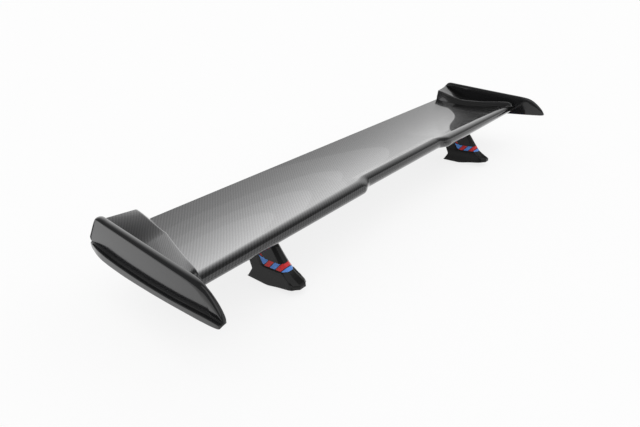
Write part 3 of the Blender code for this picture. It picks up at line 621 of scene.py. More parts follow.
@dataclass(frozen=True)
class Lacquer(Finish):
    """Gloss black paint with a faint orange peel; the marked panel is a little duller."""

    black: float = 0.011
    panel: float = 0.016
    roughness: float = 0.07
    panel_roughness: float = 0.13
    panel_edge: tuple[float, float] = (0.3, 0.7)  # marks between which the panel's finish comes in
    tint: tuple[float, float, float] = (0.98, 0.99, 1.05)
    dust: float = 900.0  # specks to the metre
    dust_shade: float = 0.30
    dust_roughness: float = 0.03
    peel: float = 260.0  # waves to the metre
    peel_depth: float = 0.0001
    peel_relief: float = 0.05

    def inputs(self, tree: Tree) -> dict[str, Any]:
        """Fine noise in the colour and the gloss, wide noise as the peel."""
        place = tree.place(Coords.OBJECT)
        dust = tree.noise(place, self.dust)
        inside = tree.mark().step(*self.panel_edge)
        dust_shade = 1.0 - self.dust_shade / 2.0 + self.dust_shade * dust
        tone = inside.blend(self.black, self.panel) * dust_shade
        return {
            "Base Color": tree.colour(tone, BLACK, self.tint),
            "Roughness": inside.blend(self.roughness, self.panel_roughness) + self.dust_roughness * dust,
            "Normal": tree.bump(tree.noise(place, self.peel, detail=1.0), self.peel_depth, self.peel_relief),
        }


@dataclass(frozen=True)
class Moulding(Finish):
    """Black plastic with a fine grain and a curved band of slanted colour blocks round the marked skin."""

    black: float = 0.010
    roughness: float = 0.22
    blue: tuple[float, float, float] = (0.110, 0.290, 0.760)
    red: tuple[float, float, float] = (0.620, 0.030, 0.036)
    bend: tuple[float, float] = (-0.0300, 0.0445)  # (Y, Z) where the band starts to curve up
    fall: float = -0.06  # slope of its straight part
    curve: float = 53.0  # how fast it curves up behind the bend
    width: float = 0.0135
    block: float = 0.0150
    slant: float = 0.90
    gap: float = 0.14  # between blocks, as a share of a block
    skin_mark: float = 0.95  # least mark of the outer skin, which alone is printed
    specular: float = 0.25
    grain: float = 1400.0  # grains to the metre
    grain_shade: float = 0.2
    grain_roughness: float = 0.06
    grain_depth: float = 0.00005
    grain_relief: float = 0.06

    def inputs(self, tree: Tree) -> dict[str, Any]:
        """The band follows a line with a parabola behind the bend; blocks alternate along it."""
        place = tree.place(Coords.OBJECT)
        _, y, z = tree.axes(place)
        grain = tree.noise(place, self.grain)
        along = y - self.bend[0]
        behind = along.math("MAXIMUM", 0.0)
        above = z - self.bend[1] - along * self.fall - behind * behind * self.curve
        inside = above.math("ABSOLUTE").below(self.width / 2.0)
        run = (y + above * self.slant) / self.block
        full = run.part().below(1.0 - self.gap)
        printed = inside * full * (1.0 - tree.mark().below(self.skin_mark))
        paint = tree.colour((run.floor() % 2.0).below(0.5), self.red, self.blue)
        low, high = (grey(self.black * (1.0 + way * self.grain_shade)) for way in (-1.0, 1.0))
        black = tree.colour(grain, low, high)
        return {
            "Base Color": tree.colour(printed, black, paint),
            "Roughness": self.roughness + self.grain_roughness * grain,
            "Normal": tree.bump(grain, self.grain_depth, self.grain_relief),
            "Specular IOR Level": self.specular,
        }


@dataclass(frozen=True)
class Metal(Finish):
    """Machined metal with fine tool lines along one axis."""

    colour: tuple[float, float, float] = (0.55, 0.56, 0.58)
    roughness: float = 0.32
    lines: float = 2400.0  # to the metre
    line_stretch: float = 0.04
    line_shade: float = 0.82  # the dark lines' share of the colour
    line_roughness: float = 0.12

    def inputs(self, tree: Tree) -> dict[str, Any]:
        """Noise stretched along Z gives the lines in colour and gloss."""
        x, y, z = tree.axes(tree.place(Coords.OBJECT))
        fine, long = self.lines, self.lines * self.line_stretch
        line = tree.noise(tree.vector(x * fine, y * fine, z * long), 1.0)
        dark = tuple(self.line_shade * part for part in self.colour)
        return {
            "Base Color": tree.colour(line, dark, self.colour),
            "Metallic": 1.0,
            "Roughness": self.roughness + self.line_roughness * (line - 0.5),
        }


@dataclass(frozen=True)
class Rubber(Finish):
    """Black sheet rubber with a dusty bloom."""

    black: float = 0.020
    roughness: float = 0.78
    bloom: float = 500.0  # specks to the metre
    bloom_shade: tuple[float, float] = (0.7, 1.4)
    bloom_roughness: float = 0.15
    bloom_depth: float = 0.0001
    bloom_relief: float = 0.15

    def inputs(self, tree: Tree) -> dict[str, Any]:
        """Noise in the colour and as a small relief."""
        place = tree.place(Coords.OBJECT)
        bloom = tree.noise(place, self.bloom)
        low, high = (grey(self.black * share) for share in self.bloom_shade)
        return {
            "Base Color": tree.colour(bloom, low, high),
            "Roughness": self.roughness + self.bloom_roughness * bloom,
            "Normal": tree.bump(bloom, self.bloom_depth, self.bloom_relief),
        }


@dataclass(frozen=True)
class Paper(Finish):
    """The studio floor's pale paper."""

    white: float = 0.92
    glow: float = 0.80  # share of plain white in what the eye and reflections see
    roughness: float = 0.9
    fleck: float = 40.0  # flecks to the metre
    fleck_shade: float = 0.004

    def surface(self, tree: Tree, shader: Shade) -> Shade:
        """To the eye and in reflections the paper is mixed with plain white, which pales its shadows."""
        eye, gloss = tree.rays()
        white = tree.node("ShaderNodeEmission", {}, {"Color": WHITE, "Strength": 1.0})
        return tree.node("ShaderNodeMixShader", {}, {0: (eye + gloss) * self.glow, 1: shader, 2: white})

    def inputs(self, tree: Tree) -> dict[str, Any]:
        """A trace of noise in the colour."""
        fleck = tree.noise(tree.place(Coords.OBJECT), self.fleck)
        return {
            "Base Color": tree.colour(fleck, grey(self.white - self.fleck_shade), grey(self.white)),
            "Roughness": self.roughness,
            "Specular IOR Level": 0.0,
        }


CLOTH = Twill("carbon_gloss")
CLOTH_INSIDE = Twill("carbon_inside", source=Coords.OBJECT, roughness=0.38, coat=0.0)
BLACK_GLOSS = Lacquer("gloss_black")
BLACK_SATIN = Moulding("satin_black")
ALLOY = Metal("alloy")
STEEL = Metal("steel", (0.36, 0.36, 0.38), 0.28)
BRONZE = Metal("bronze", (0.46, 0.31, 0.15), 0.38)
RUBBER = Rubber("rubber")


# Sub-assemblies

@dataclass
class Blade:
    """The blade's two carbon skins, with the centre section's leading edge set back."""

    half: float = 0.6132
    leading_y: float = -0.0951
    nose_bottom: float = 0.1150
    nose_inner: float = 0.0130  # radius beside the centre ramp
    nose_tip: float = 0.0095  # radius at the end plate
    nose_stretch: float = 1.6  # length of the nose's upper half over its radius
    trailing_y: float = 0.1349
    trailing_top: float = 0.1365
    trailing_thickness: float = 0.0020
    crest_angle: float = math.radians(13.0)
    trailing_top_angle: float = math.radians(11.0)
    belly_front_angle: float = math.radians(7.0)
    trailing_belly_angle: float = math.radians(12.5)
    top_pull: float = 0.075
    belly_pull: float = 0.085
    wall: float = 0.0016
    parting: float = 0.00036
    setback: float = 0.013
    ramp_inner: float = 0.150
    ramp_outer: float = 0.187
    blend: float = 0.045
    nose_steps: int = 18
    chord_steps: int = 48
    newton_steps: int = 6
    span_stations: int = 61
    ramp_stations: int = 15
    ramp_margin: float = 0.006  # how far the closer stations go past a ramp
    weave_turn: float = math.radians(5.6)
    window_half: float = 0.0032  # of the openings for the hinge lugs
    window_y: tuple[float, float] = (-0.0202, 0.0260)
    window_z: tuple[float, float] = (0.0810, 0.1240)

    def reaches(self, x: Array, top: bool) -> tuple[Array, Array]:
        """The nose's length and radius; the radius falls straight from the ramp to the tip."""
        radius = mix(self.nose_inner, self.nose_tip, progress(np.abs(x), self.ramp_outer, self.half))
        return radius * (self.nose_stretch if top else 1.0), radius

    def nose(self, x: Array, top: bool) -> tuple[Array, Array]:
        """The rounded nose: a circle below, a drawn-out ellipse above, up to the slope of the curve behind.

        Args:
            x: stations, any shape.
            top: the upper or the lower half.

        Returns:
            Points and outward normals, (..., steps + 1, 2).
        """
        length, radius = (r[..., None] for r in self.reaches(x, top))
        turn, stretch = (1.0, self.nose_stretch) if top else (-1.0, 1.0)
        slope = self.crest_angle if top else -self.belly_front_angle
        first = math.pi - GAP / (2.0 * radius)
        last = math.atan2(math.cos(slope), stretch * math.sin(slope))
        angle = turn * mix(first, last, shares(self.nose_steps))
        place = np.stack([
            self.leading_y + length * (1.0 + np.cos(angle)),
            self.nose_bottom + radius * (1.0 + np.sin(angle)),
        ], axis=-1)
        normal = np.stack([np.cos(angle), stretch * np.sin(angle)], axis=-1)
        return place, unit(normal)

    def handles(self, x: Array, top: bool) -> list[Array]:
        """The four control points of the curve from the nose to the trailing edge."""
        start = self.nose(x, top)[0][..., -1, :]
        if top:
            leave, arrive, pull, drop = -self.crest_angle, self.trailing_top_angle, self.top_pull, 0.0
        else:
            leave, arrive, pull = -self.belly_front_angle, self.trailing_belly_angle, self.belly_pull
            drop = self.trailing_thickness
        end = np.broadcast_to([self.trailing_y, self.trailing_top - drop], start.shape)
        return [start, start + pull * heading(leave), end - pull * heading(arrive), end]

    def face(self, x: Array, top: bool) -> tuple[Array, Array]:
        """One face from nose to trailing edge: the nose's arc, then a cubic Bezier curve.

        Args:
            x: stations, (stations,).
            top: the upper or the lower face.

        Returns:
            Points and outward normals, (stations, points, 2).
        """
        arc, arc_normal = self.nose(x, top)
        handles = [point[:, None, :] for point in self.handles(x, top)]
        t = shares(self.chord_steps)[1:, None]
        place, way = bezier(*handles, t), unit(bezier_way(*handles, t))
        normal = (1.0 if top else -1.0) * np.stack([-way[..., 1], way[..., 0]], axis=-1)
        return np.concatenate([arc, place], axis=1), np.concatenate([arc_normal, normal], axis=1)

    def set_back(self, x: Array, points: Array) -> Array:
        """Points moved rearwards: the set-back times the ramp's share and a smooth fade along the chord."""
        share = smooth(progress(np.abs(x), self.ramp_outer, self.ramp_inner))[:, None]
        fade = 1.0 - smooth((points[..., 0] - self.leading_y - self.nose_tip) / self.blend)
        return points + np.stack([self.setback * share * fade, np.zeros_like(fade)], axis=-1)

    def height(self, x: Array, y: Array, top: bool) -> Array:
        """Height of a face outside the ramps: on the nose from its ellipse, behind it by Newton's steps.

        Args:
            x: stations.
            y: chord positions, of the same shape.
            top: the upper or the lower face.

        Returns:
            Heights of the same shape.
        """
        handles = np.stack(self.handles(x, top))
        handles_y, handles_z = handles[..., 0], handles[..., 1]
        length, radius = self.reaches(x, top)
        along = np.clip((y - self.leading_y) / length - 1.0, -1.0, 1.0)
        rise = radius * np.sqrt(1.0 - along**2) * (1.0 if top else -1.0)
        t = progress(y, handles_y[0], handles_y[3])
        for _ in range(self.newton_steps):
            t = t - (bezier(*handles_y, t) - y) / (3.0 * bezier_way(*handles_y, t))
        return np.where(y < handles_y[0], self.nose_bottom + radius + rise, bezier(*handles_z, t))

    def stations(self) -> Array:
        """Span positions, closer together on the ramps."""
        even = np.linspace(-self.half, self.half, self.span_stations)
        margin = self.ramp_margin
        ramp = np.linspace(self.ramp_inner - margin, self.ramp_outer + margin, self.ramp_stations)
        return np.unique(np.concatenate([even, ramp, -ramp]).round(5))

    def skin(self, top: bool) -> bpy.types.Object:
        """One skin: its outer line from nose to trailing edge and back along its inner line.

        The inner line lies one wall below the outer, or half the section's thickness less the parting.

        Args:
            top: the upper or the lower skin.

        Returns:
            The skin's object.
        """
        x = self.stations()
        outer, normal = self.face(x, top)
        other, _ = self.face(x, not top)
        room = (np.abs(outer[..., 1] - other[..., 1]) - self.parting) / 2.0
        room[:, : self.nose_steps + 1] = self.wall
        inner = outer - np.minimum(room, self.wall)[..., None] * normal
        line = np.concatenate([self.set_back(x, outer), self.set_back(x, inner)[:, ::-1]], axis=1)
        rings = np.concatenate([np.broadcast_to(x[:, None, None], (*line.shape[:2], 1)), line], axis=-1)
        girth = arc_lengths(outer)
        girth = np.concatenate([girth, girth[:, ::-1], girth[:, :1]], axis=1)
        uv = turned(np.stack([np.broadcast_to(x[:, None], girth.shape), girth], axis=-1), self.weave_turn)
        return Loft(f"skin_{'upper' if top else 'lower'}", rings, Cap.STRIP, uv).build()

    def build(self) -> None:
        """Both skins, the lower one open where the hinge lugs come through."""
        settle(self.skin(True), Body.WING, "blade_upper_skin", CLOTH)
        lower = self.skin(False)
        (front, rear), (low, high) = self.window_y, self.window_z
        window = np.array([(front, low), (rear, low), (rear, high), (front, high)])
        places = [side.value * StandShell.middle_x for side in Side]
        half = self.window_half
        cut(lower, [prism("lug_window", window, x - half, x + half) for x in places])
        settle(lower, Body.WING, "blade_lower_skin", CLOTH)


PLATE_ROWS = (  # (Y, top Z, ledge Z, bottom Z, lip reach, thickness, crown's height), from nose to tail
    (-0.1796, 0.1135, 0.1120, 0.1096, 0.0050, 0.0060, 0.0020),
    (-0.1776, 0.1178, 0.1130, 0.1074, 0.0060, 0.0070, 0.0030),
    (-0.1736, 0.1240, 0.1137, 0.1057, 0.0066, 0.0085, 0.0050),
    (-0.1661, 0.1322, 0.1140, 0.1043, 0.0070, 0.0105, 0.0085),
    (-0.1551, 0.1418, 0.1140, 0.1031, 0.0074, 0.0124, 0.0130),
    (-0.1421, 0.1502, 0.1134, 0.1020, 0.0077, 0.0138, 0.0150),
    (-0.1271, 0.1556, 0.1122, 0.1009, 0.0080, 0.0148, 0.0100),
    (-0.1071, 0.1580, 0.1106, 0.0995, 0.0080, 0.0150, 0.0066),
    (-0.0621, 0.1612, 0.1074, 0.0964, 0.0080, 0.0150, 0.0060),
    (-0.0021, 0.1655, 0.1060, 0.0936, 0.0080, 0.0150, 0.0060),
    (0.0579, 0.1700, 0.1072, 0.0925, 0.0080, 0.0150, 0.0060),
    (0.1079, 0.1737, 0.1102, 0.0945, 0.0080, 0.0150, 0.0060),
    (0.1319, 0.1753, 0.1132, 0.0968, 0.0078, 0.0150, 0.0058),
    (0.1399, 0.1738, 0.1140, 0.0978, 0.0074, 0.0150, 0.0050),
    (0.1469, 0.1672, 0.1146, 0.0987, 0.0068, 0.0148, 0.0040),
    (0.1559, 0.1560, 0.1152, 0.0999, 0.0056, 0.0144, 0.0034),
    (0.1649, 0.1446, 0.1154, 0.1017, 0.0040, 0.0138, 0.0032),
    (0.1729, 0.1346, 0.1150, 0.1043, 0.0026, 0.0126, 0.0030),
    (0.1774, 0.1284, 0.1144, 0.1070, 0.0018, 0.0112, 0.0026),
    (0.1796, 0.1215, 0.1136, 0.1098, 0.0012, 0.0090, 0.0020),
)
PLATE_CURVE = MonotoneCurve(PLATE_ROWS)
PANEL_CORNERS = (  # (Y, Z, fillet radius); the rear ones lie outside the plate, as the panel runs out there
    (0.1400, 0.1692, 0.004),
    (-0.0900, 0.1528, 0.100),
    (-0.1320, 0.1490, 0.020),
    (-0.1500, 0.1225, 0.012),
    (-0.1520, 0.1140, 0.001),
    (-0.1021, 0.1100, 0.040),
    (-0.0080, 0.1040, 0.250),
    (0.0979, 0.1085, 0.100),
    (0.1900, 0.1130, 0.001),
    (0.1900, 0.1200, 0.001),
)


@dataclass
class EndPlate:
    """One end plate: rounded crown, sunk panel on the outer face, ledge and lip along its foot."""

    side: Side
    face_x: float = 0.6285
    crown_share: float = 0.45  # most of the face's height that the crown takes
    bottom_rise: float = 0.0070
    bottom_share: float = 0.5
    edge_share: float = 0.15
    cove_share: float = 0.30
    panel_depth: float = 0.0012
    panel_edge: float = 0.0006  # half the width of the step round the panel
    end_round: float = 0.0030
    end_share: float = 0.004  # least share of that round, so that the end rings keep a size
    ring_count: int = 320
    round_rings: int = 8
    inner_steps: int = 8
    crown_steps: int = 22
    face_steps: int = 72
    cove_steps: int = 6
    ledge_steps: int = 4
    edge_steps: int = 5
    lip_steps: int = 6
    under_steps: int = 10
    panel_steps: int = 6

    def rows(self) -> Array:
        """Chord positions, closer together at nose and tail."""
        first, last = PLATE_ROWS[0][0], PLATE_ROWS[-1][0]
        even = np.linspace(first, last, self.ring_count)
        near = self.end_round * shares(self.round_rings) ** 2
        return np.unique(np.concatenate([even, first + near, last - near]).round(6))

    @staticmethod
    def arc(centre: Array, reach: Array, start: float, stop: float, steps: int) -> Array:
        """An elliptic arc in each ring: the centre plus the reaches times cosine and sine.

        Args:
            centre: middles, (rings, 2).
            reach: half axes, (rings, 2).
            start: first angle.
            stop: last angle.
            steps: steps along the arc.

        Returns:
            Points, (rings, steps + 1, 2).
        """
        angle = np.linspace(start, stop, steps + 1)
        spokes = np.stack([np.cos(angle), np.sin(angle)], axis=-1)
        return centre[:, None, :] + reach[:, None, :] * spokes

    @staticmethod
    def line(start: Array, stop: Array, steps: int) -> Array:
        """Even points between two places in each ring, both ends left out."""
        return mix(start[:, None, :], stop[:, None, :], shares(steps)[1:-1, None])

    def section(self, y: Array) -> tuple[Array, Array]:
        """Rings (X, Z): inner face, crown, outer face, cove, ledge, lip and sloped under side.

        The panel is a step in the outer face: its depth times a smooth step of the distance inside the
        panel's outline.

        Args:
            y: chord positions, (rings,).

        Returns:
            Points, (rings, points, 2), and the mark of the panel, (rings, points).
        """
        top, ledge, bottom, lip, thickness, crown = PLATE_CURVE(y).T
        x = np.full_like(y, self.face_x)
        half = thickness / 2.0
        crown = np.minimum(crown, self.crown_share * (top - ledge))
        foot = np.minimum(self.bottom_rise, self.bottom_share * (ledge - bottom))
        edge, cove = self.edge_share * lip, self.cove_share * lip

        def at(px: Array, pz: Array) -> Array:
            """Places in each ring."""
            return np.stack([px, pz], axis=-1)

        right = math.pi / 2.0
        over = self.arc(at(x - half, top - crown), at(half, crown), math.pi, 0.0, self.crown_steps)
        hollow = self.arc(at(x + cove, ledge + cove), at(cove, cove), math.pi, 3.0 * right, self.cove_steps)
        upper = self.arc(at(x + lip - edge, ledge - edge), at(edge, edge), right, 0.0, self.edge_steps)
        lower = self.arc(at(x + lip - edge, bottom + edge), at(edge, edge), 0.0, -right, self.edge_steps)
        corner = at(x - thickness, bottom + foot)
        outer = self.line(over[:, -1], hollow[:, 0], self.face_steps)
        place = np.stack([np.broadcast_to(y[:, None], outer.shape[:2]), outer[..., 1]], axis=-1)
        corners = np.array(PANEL_CORNERS)
        panel = rounded_outline(corners[:, :2], corners[:, 2], self.panel_steps)
        inside = inside_distance(place, panel)
        sunk = smooth((inside + self.panel_edge) / (2.0 * self.panel_edge))
        outer[..., 0] -= self.panel_depth * sunk
        hollow[..., 0] -= self.panel_depth * sunk[:, -1:] * np.linspace(1.0, 0.0, hollow.shape[1]) ** 2
        parts = [
            corner[:, None, :], self.line(corner, over[:, 0], self.inner_steps),
            over, outer, hollow, self.line(hollow[:, -1], upper[:, 0], self.ledge_steps),
            upper, self.line(upper[:, -1], lower[:, 0], self.lip_steps),
            lower, self.line(lower[:, -1], corner, self.under_steps),
        ]
        marks = [sunk if part is outer else np.zeros(part.shape[:2]) for part in parts]
        return np.concatenate(parts, axis=1), np.concatenate(marks, axis=1)

    def build(self) -> None:
        """The plate: its sections along the chord, drawn in to a round at nose and tail.

        Near an end the section shrinks about its middle by the square root of 1 - (1 - t) squared, where t
        is the distance from that end over the round's length.
        """
        y = self.rows()
        ring, mark = self.section(y)
        near = np.minimum(y - y[0], y[-1] - y) / self.end_round
        shrink = np.sqrt(1.0 - (1.0 - np.clip(near, self.end_share, 1.0)) ** 2)[:, None, None]
        middle = ring.mean(axis=1, keepdims=True)
        ring = middle + (ring - middle) * shrink
        along = np.broadcast_to(y[:, None], ring.shape[:2])
        rings = np.stack([self.side.value * ring[..., 0], along, ring[..., 1]], axis=-1)
        label = self.side.label
        plate = Loft(f"plate_{label}", rings, Cap.FACE, mark=mark).build()
        settle(plate, Body.WING, f"end_plate_{label}", BLACK_GLOSS)


@dataclass
class EndFairing:
    """The shoulder between blade and end plate, widest at the rear."""

    side: Side
    blade: Blade
    front_y: float = -0.0930
    taper_y: float = 0.0549
    width: float = 0.061
    tip_width: float = 0.0160
    foot: float = 0.003
    foot_rear: float = 0.018
    lean: float = 0.25
    roof_tilt: tuple[float, float] = (-0.36, 0.088)  # rise towards the plate, in front and at the rear
    tilt_y: float = -0.0500  # where the tilt starts to change
    crest: float = 0.0130
    crest_rear: float = 0.0240
    crest_swell: float = 0.0042  # more over the blade's hollow
    swell_y: float = -0.0751  # where that begins
    crest_round: float = 0.0030
    round_share: float = 0.4  # most of the wall that the crest's round takes
    nose_round: float = 0.0480  # length over which the front end rises
    nose_share: float = 0.03  # of the height, left at the front end
    weave_turn: float = math.radians(22.0)
    ring_steps: int = 119
    ring_power: float = 1.25  # above 1 the rings crowd towards the front
    floor_steps: int = 16
    wall_steps: int = 8
    crest_steps: int = 8
    roof_steps: int = 24

    def rear_share(self, y: Array) -> Array:
        """How much of the rear's form a place has: a smooth step from the taper to the trailing edge."""
        return smooth(progress(y, self.taper_y, self.blade.trailing_y))

    def section(self, y: Array) -> tuple[Array, Array]:
        """Rings (X, Z) and their weave: floor on the blade, inner wall, rounded crest and straight roof.

        The roof falls from the crest to the plate in front and from the plate to the crest at the rear. The
        crest is a quadratic curve between wall and roof. In front the height over the floor rises as a
        quarter ellipse.

        Args:
            y: chord positions, (rings,).

        Returns:
            Points (rings, points, 2) and UV places (rings, points + 1, 2).
        """
        y = y[:, None]
        rear = self.rear_share(y)
        side_x = np.full_like(y, self.blade.half)
        crest_x = side_x - mix(self.tip_width, self.width, progress(y, self.front_y, self.taper_y))
        foot_x = crest_x - mix(self.foot, self.foot_rear, rear)
        run = progress(y, self.swell_y, self.blade.trailing_y)
        crest_z = self.blade.height(crest_x, y, True) + mix(self.crest, self.crest_rear, rear)
        crest_z = crest_z + 4.0 * run * (1.0 - run) * self.crest_swell
        tilt = mix(*self.roof_tilt, progress(y, self.tilt_y, self.blade.trailing_y))
        edge_z = crest_z + tilt * (side_x - crest_x)

        def floor(x: Array) -> Array:
            """Height of the floor."""
            return self.blade.height(x, np.broadcast_to(y, x.shape), True) + GAP

        under_x = mix(side_x, foot_x, shares(self.floor_steps))
        under = np.stack([under_x, floor(under_x)], axis=-1)
        foot = under[:, -1:]
        crest = np.stack([crest_x, crest_z], axis=-1)
        edge = np.stack([side_x, edge_z], axis=-1)
        wall, roof = crest - foot, edge - crest
        length = np.linalg.norm(wall, axis=-1, keepdims=True)
        back = np.minimum(self.crest_round, self.round_share * length)
        low = crest - wall / length * back
        high = crest + unit(roof) * back
        t = shares(self.crest_steps)[:, None]
        turn = (1.0 - t) ** 2 * low + 2.0 * t * (1.0 - t) * crest + t * t * high
        rise = mix(foot, low, shares(self.wall_steps)[1:-1, None])
        rest = mix(high, edge, shares(self.roof_steps)[1:, None])
        ring = np.concatenate([under, rise, turn, rest], axis=1)
        base = floor(ring[..., 0])
        front = progress(y, self.front_y, self.front_y + self.nose_round)
        tall = np.sqrt(1.0 - (1.0 - front) ** 2)
        ring[..., 1] = base + (ring[..., 1] - base) * np.maximum(tall, self.nose_share)
        girth = arc_lengths(ring)
        girth = np.concatenate([girth, girth[:, -1:]], axis=1)
        uv = np.stack([self.side.value * girth, np.broadcast_to(y, girth.shape)], axis=-1)
        return ring, turned(uv, self.weave_turn)

    def build(self) -> None:
        """The shoulder: its sections along the chord, the rear ones leaning back with their height."""
        y = mix(self.front_y, self.blade.trailing_y, shares(self.ring_steps) ** self.ring_power)
        ring, uv = self.section(y)
        rear = self.rear_share(y)[:, None]
        base = self.blade.height(np.full_like(y, self.blade.half), y, True)[:, None]
        back = y[:, None] + rear * self.lean * np.maximum(ring[..., 1] - base, 0.0)
        rings = np.stack([self.side.value * ring[..., 0], back, ring[..., 1]], axis=-1)
        label = self.side.label
        fairing = Loft(f"fairing_{label}", rings, Cap.FACE, uv).build()
        settle(fairing, Body.WING, f"end_fairing_{label}", CLOTH)


@dataclass
class StandShell:
    """One moulded pillar: inner skin up through the levels, outer skin back down, two access holes."""

    side: Side
    blade: Blade
    middle_x: float = 0.40
    foot_z: float = 0.0023
    head_z: float = 0.1100  # nominal, for the mix of the levels
    strip_share: float = 0.38
    bevel_slope: float = 0.85
    corner_radii: tuple[float, float, float] = (0.0015, 0.0030, 0.0020)
    least_radius: float = 0.25  # of a corner inside the wall, as a share of the outer one
    arc_steps: int = 5
    edge_steps: int = 20
    wall: float = 0.0025
    slack: float = 0.0008
    pivot: tuple[float, float] = (-0.0121, 0.094)
    angle_range: float = math.radians(10.0)
    hole_y: tuple[float, float] = (-0.0121, 0.0179)
    hole_radius: float = 0.0068
    hole_steps: int = 40
    hole_reach: float = 0.022  # from the shell's middle, through its inner face
    crease: float = math.radians(30.0)
    ring_count: int = 64
    levels: tuple[tuple[float, float, float, float], ...] = (  # (height, front Y, rear Y, thickness)
        (0.0000, -0.0421, 0.0175, 0.0440),
        (0.0070, -0.0731, 0.0138, 0.0418),
        (0.0150, -0.1106, 0.0094, 0.0388),
        (0.0205, -0.1106, 0.0067, 0.0368),
        (0.0310, -0.0939, 0.0119, 0.0334),
        (0.0400, -0.0821, 0.0169, 0.0300),
        (0.0560, -0.0691, 0.0254, 0.0256),
        (0.0800, -0.0514, 0.0359, 0.0232),
        (0.1100, -0.0296, 0.0459, 0.0220),
    )
    toe: tuple[float, float] = (0.004, 0.018)  # heights of the rising under side
    recess: tuple[tuple[float, float], ...] = (  # outline (Y, Z) of the flanks' sunk part
        (-0.0060, 0.1400), (-0.0105, 0.0580), (-0.0125, 0.0455), (-0.0170, 0.0385), (-0.0240, 0.0355),
        (-0.0520, 0.0365), (-0.0733, 0.0388), (-0.0790, 0.0376), (-0.0835, 0.0345), (-0.0931, 0.0245),
        (-0.1030, 0.0120), (-0.2000, 0.0120), (-0.2000, 0.1400),
    )
    recess_depth: float = 0.0014
    recess_edge: float = 0.0016

    def head_height(self, y: Array) -> Array:
        """Top edge: the blade's under face less the slack and less its drop at the steepest setting.

        The drop is the height over the pivot times 1 - cosine, less the distance behind it times the sine.
        """
        belly = self.blade.height(np.full_like(y, self.middle_x), y, False)
        lift, turn = 1.0 - math.cos(self.angle_range), math.sin(self.angle_range)
        drop = (belly - self.pivot[1]) * lift - (y - self.pivot[0]) * turn
        return belly - self.slack - np.maximum(drop, 0.0)

    def plan(self, sizes: Array, inset: float) -> Array:
        """Plans of the stand: narrow front strip, bevelled flanks and rounded tail.

        Args:
            sizes: front, rear and thickness of each ring, (rings, 3).
            inset: distance inside the outer skin.

        Returns:
            Points (rings, points, 2).
        """
        front, rear, thickness = sizes.T
        half = thickness / 2.0
        strip = self.strip_share * half
        shoulder = front + self.bevel_slope * (half - strip)
        right = np.stack([
            np.stack([strip, front], -1), np.stack([half, shoulder], -1), np.stack([half, rear], -1)
        ], axis=1)
        left = right[:, ::-1] * np.array([-1.0, 1.0])
        corners = inset_corners(np.concatenate([right, left], axis=1), inset)
        radii = [max(r - inset, r * self.least_radius) for r in self.corner_radii + self.corner_radii[::-1]]
        arcs = rounded_outline(corners, radii, self.arc_steps).reshape(len(sizes), 6, -1, 2)
        start, stop = arcs[:, :, -1:], np.roll(arcs, -1, axis=1)[:, :, :1]
        sides = mix(start, stop, shares(self.edge_steps)[1:-1, None])
        return np.concatenate([arcs, sides], axis=2).reshape(len(sizes), -1, 2)

    def sunk(self, plan: Array, z: Array) -> Array:
        """Plans with the front upper part of both flanks sunk.

        The depth fades in by a smooth step of the distance inside the part's outline (Y, Z), and across the
        stand from the edge of the front strip to the flank.

        Args:
            plan: points, (rings, points, 2).
            z: their heights, (rings, points).

        Returns:
            The moved points.
        """
        inside = inside_distance(np.stack([plan[..., 1], z], axis=-1), np.array(self.recess))
        half = np.abs(plan[..., 0]).max(axis=1, keepdims=True)
        across = smooth((np.abs(plan[..., 0]) / half - self.strip_share) / (1.0 - self.strip_share))
        depth = self.recess_depth * across * smooth(inside / self.recess_edge)
        return plan - np.stack([np.sign(plan[..., 0]) * depth, np.zeros_like(depth)], axis=-1)

    def skin(self, inset: float) -> Array:
        """One skin: plans by height through smooth curves; above the last level but one they rise to the head.

        Args:
            inset: distance inside the outer skin.

        Returns:
            Rings, (rings, points, 3).
        """
        nominal = np.linspace(0.0, self.head_z, self.ring_count)
        nominal = np.unique(np.concatenate([nominal, [row[0] for row in self.levels]]).round(6))
        plan = self.plan(MonotoneCurve(self.levels)(nominal), inset)
        neck = self.levels[-2][0]
        share = progress(nominal, neck, self.head_z)[:, None]
        lift = np.where((nominal > self.toe[0]) & (nominal < self.toe[1]) & (inset > 0.0), self.wall, 0.0)
        low = np.minimum(np.maximum(nominal, self.foot_z) + lift, neck)[:, None]
        z = mix(low, self.head_height(plan[..., 1]), share)
        plan = self.sunk(plan, z)
        return np.stack([self.side.value * self.middle_x + plan[..., 0], plan[..., 1], z], axis=-1)

    def build(self) -> None:
        """The shell with the screws' access holes in its inner face."""
        outer, inner = self.skin(0.0), self.skin(self.wall)
        rings = np.concatenate([inner, outer[::-1]], axis=0)
        mark = np.concatenate([np.zeros(inner.shape[:2]), np.ones(outer.shape[:2])], axis=0)
        label = self.side.label
        shell = Loft(f"shell_{label}", rings, Cap.JOINED, mark=mark, crease=self.crease).build()
        near, far = (self.side.value * (self.middle_x - reach) for reach in (0.0, self.hole_reach))
        holes = [circle((y, self.pivot[1]), self.hole_radius, self.hole_steps) for y in self.hole_y]
        cut(shell, [prism("access", hole, near, far) for hole in holes])
        settle(shell, Body.STANDS, f"stand_shell_{label}", BLACK_SATIN)


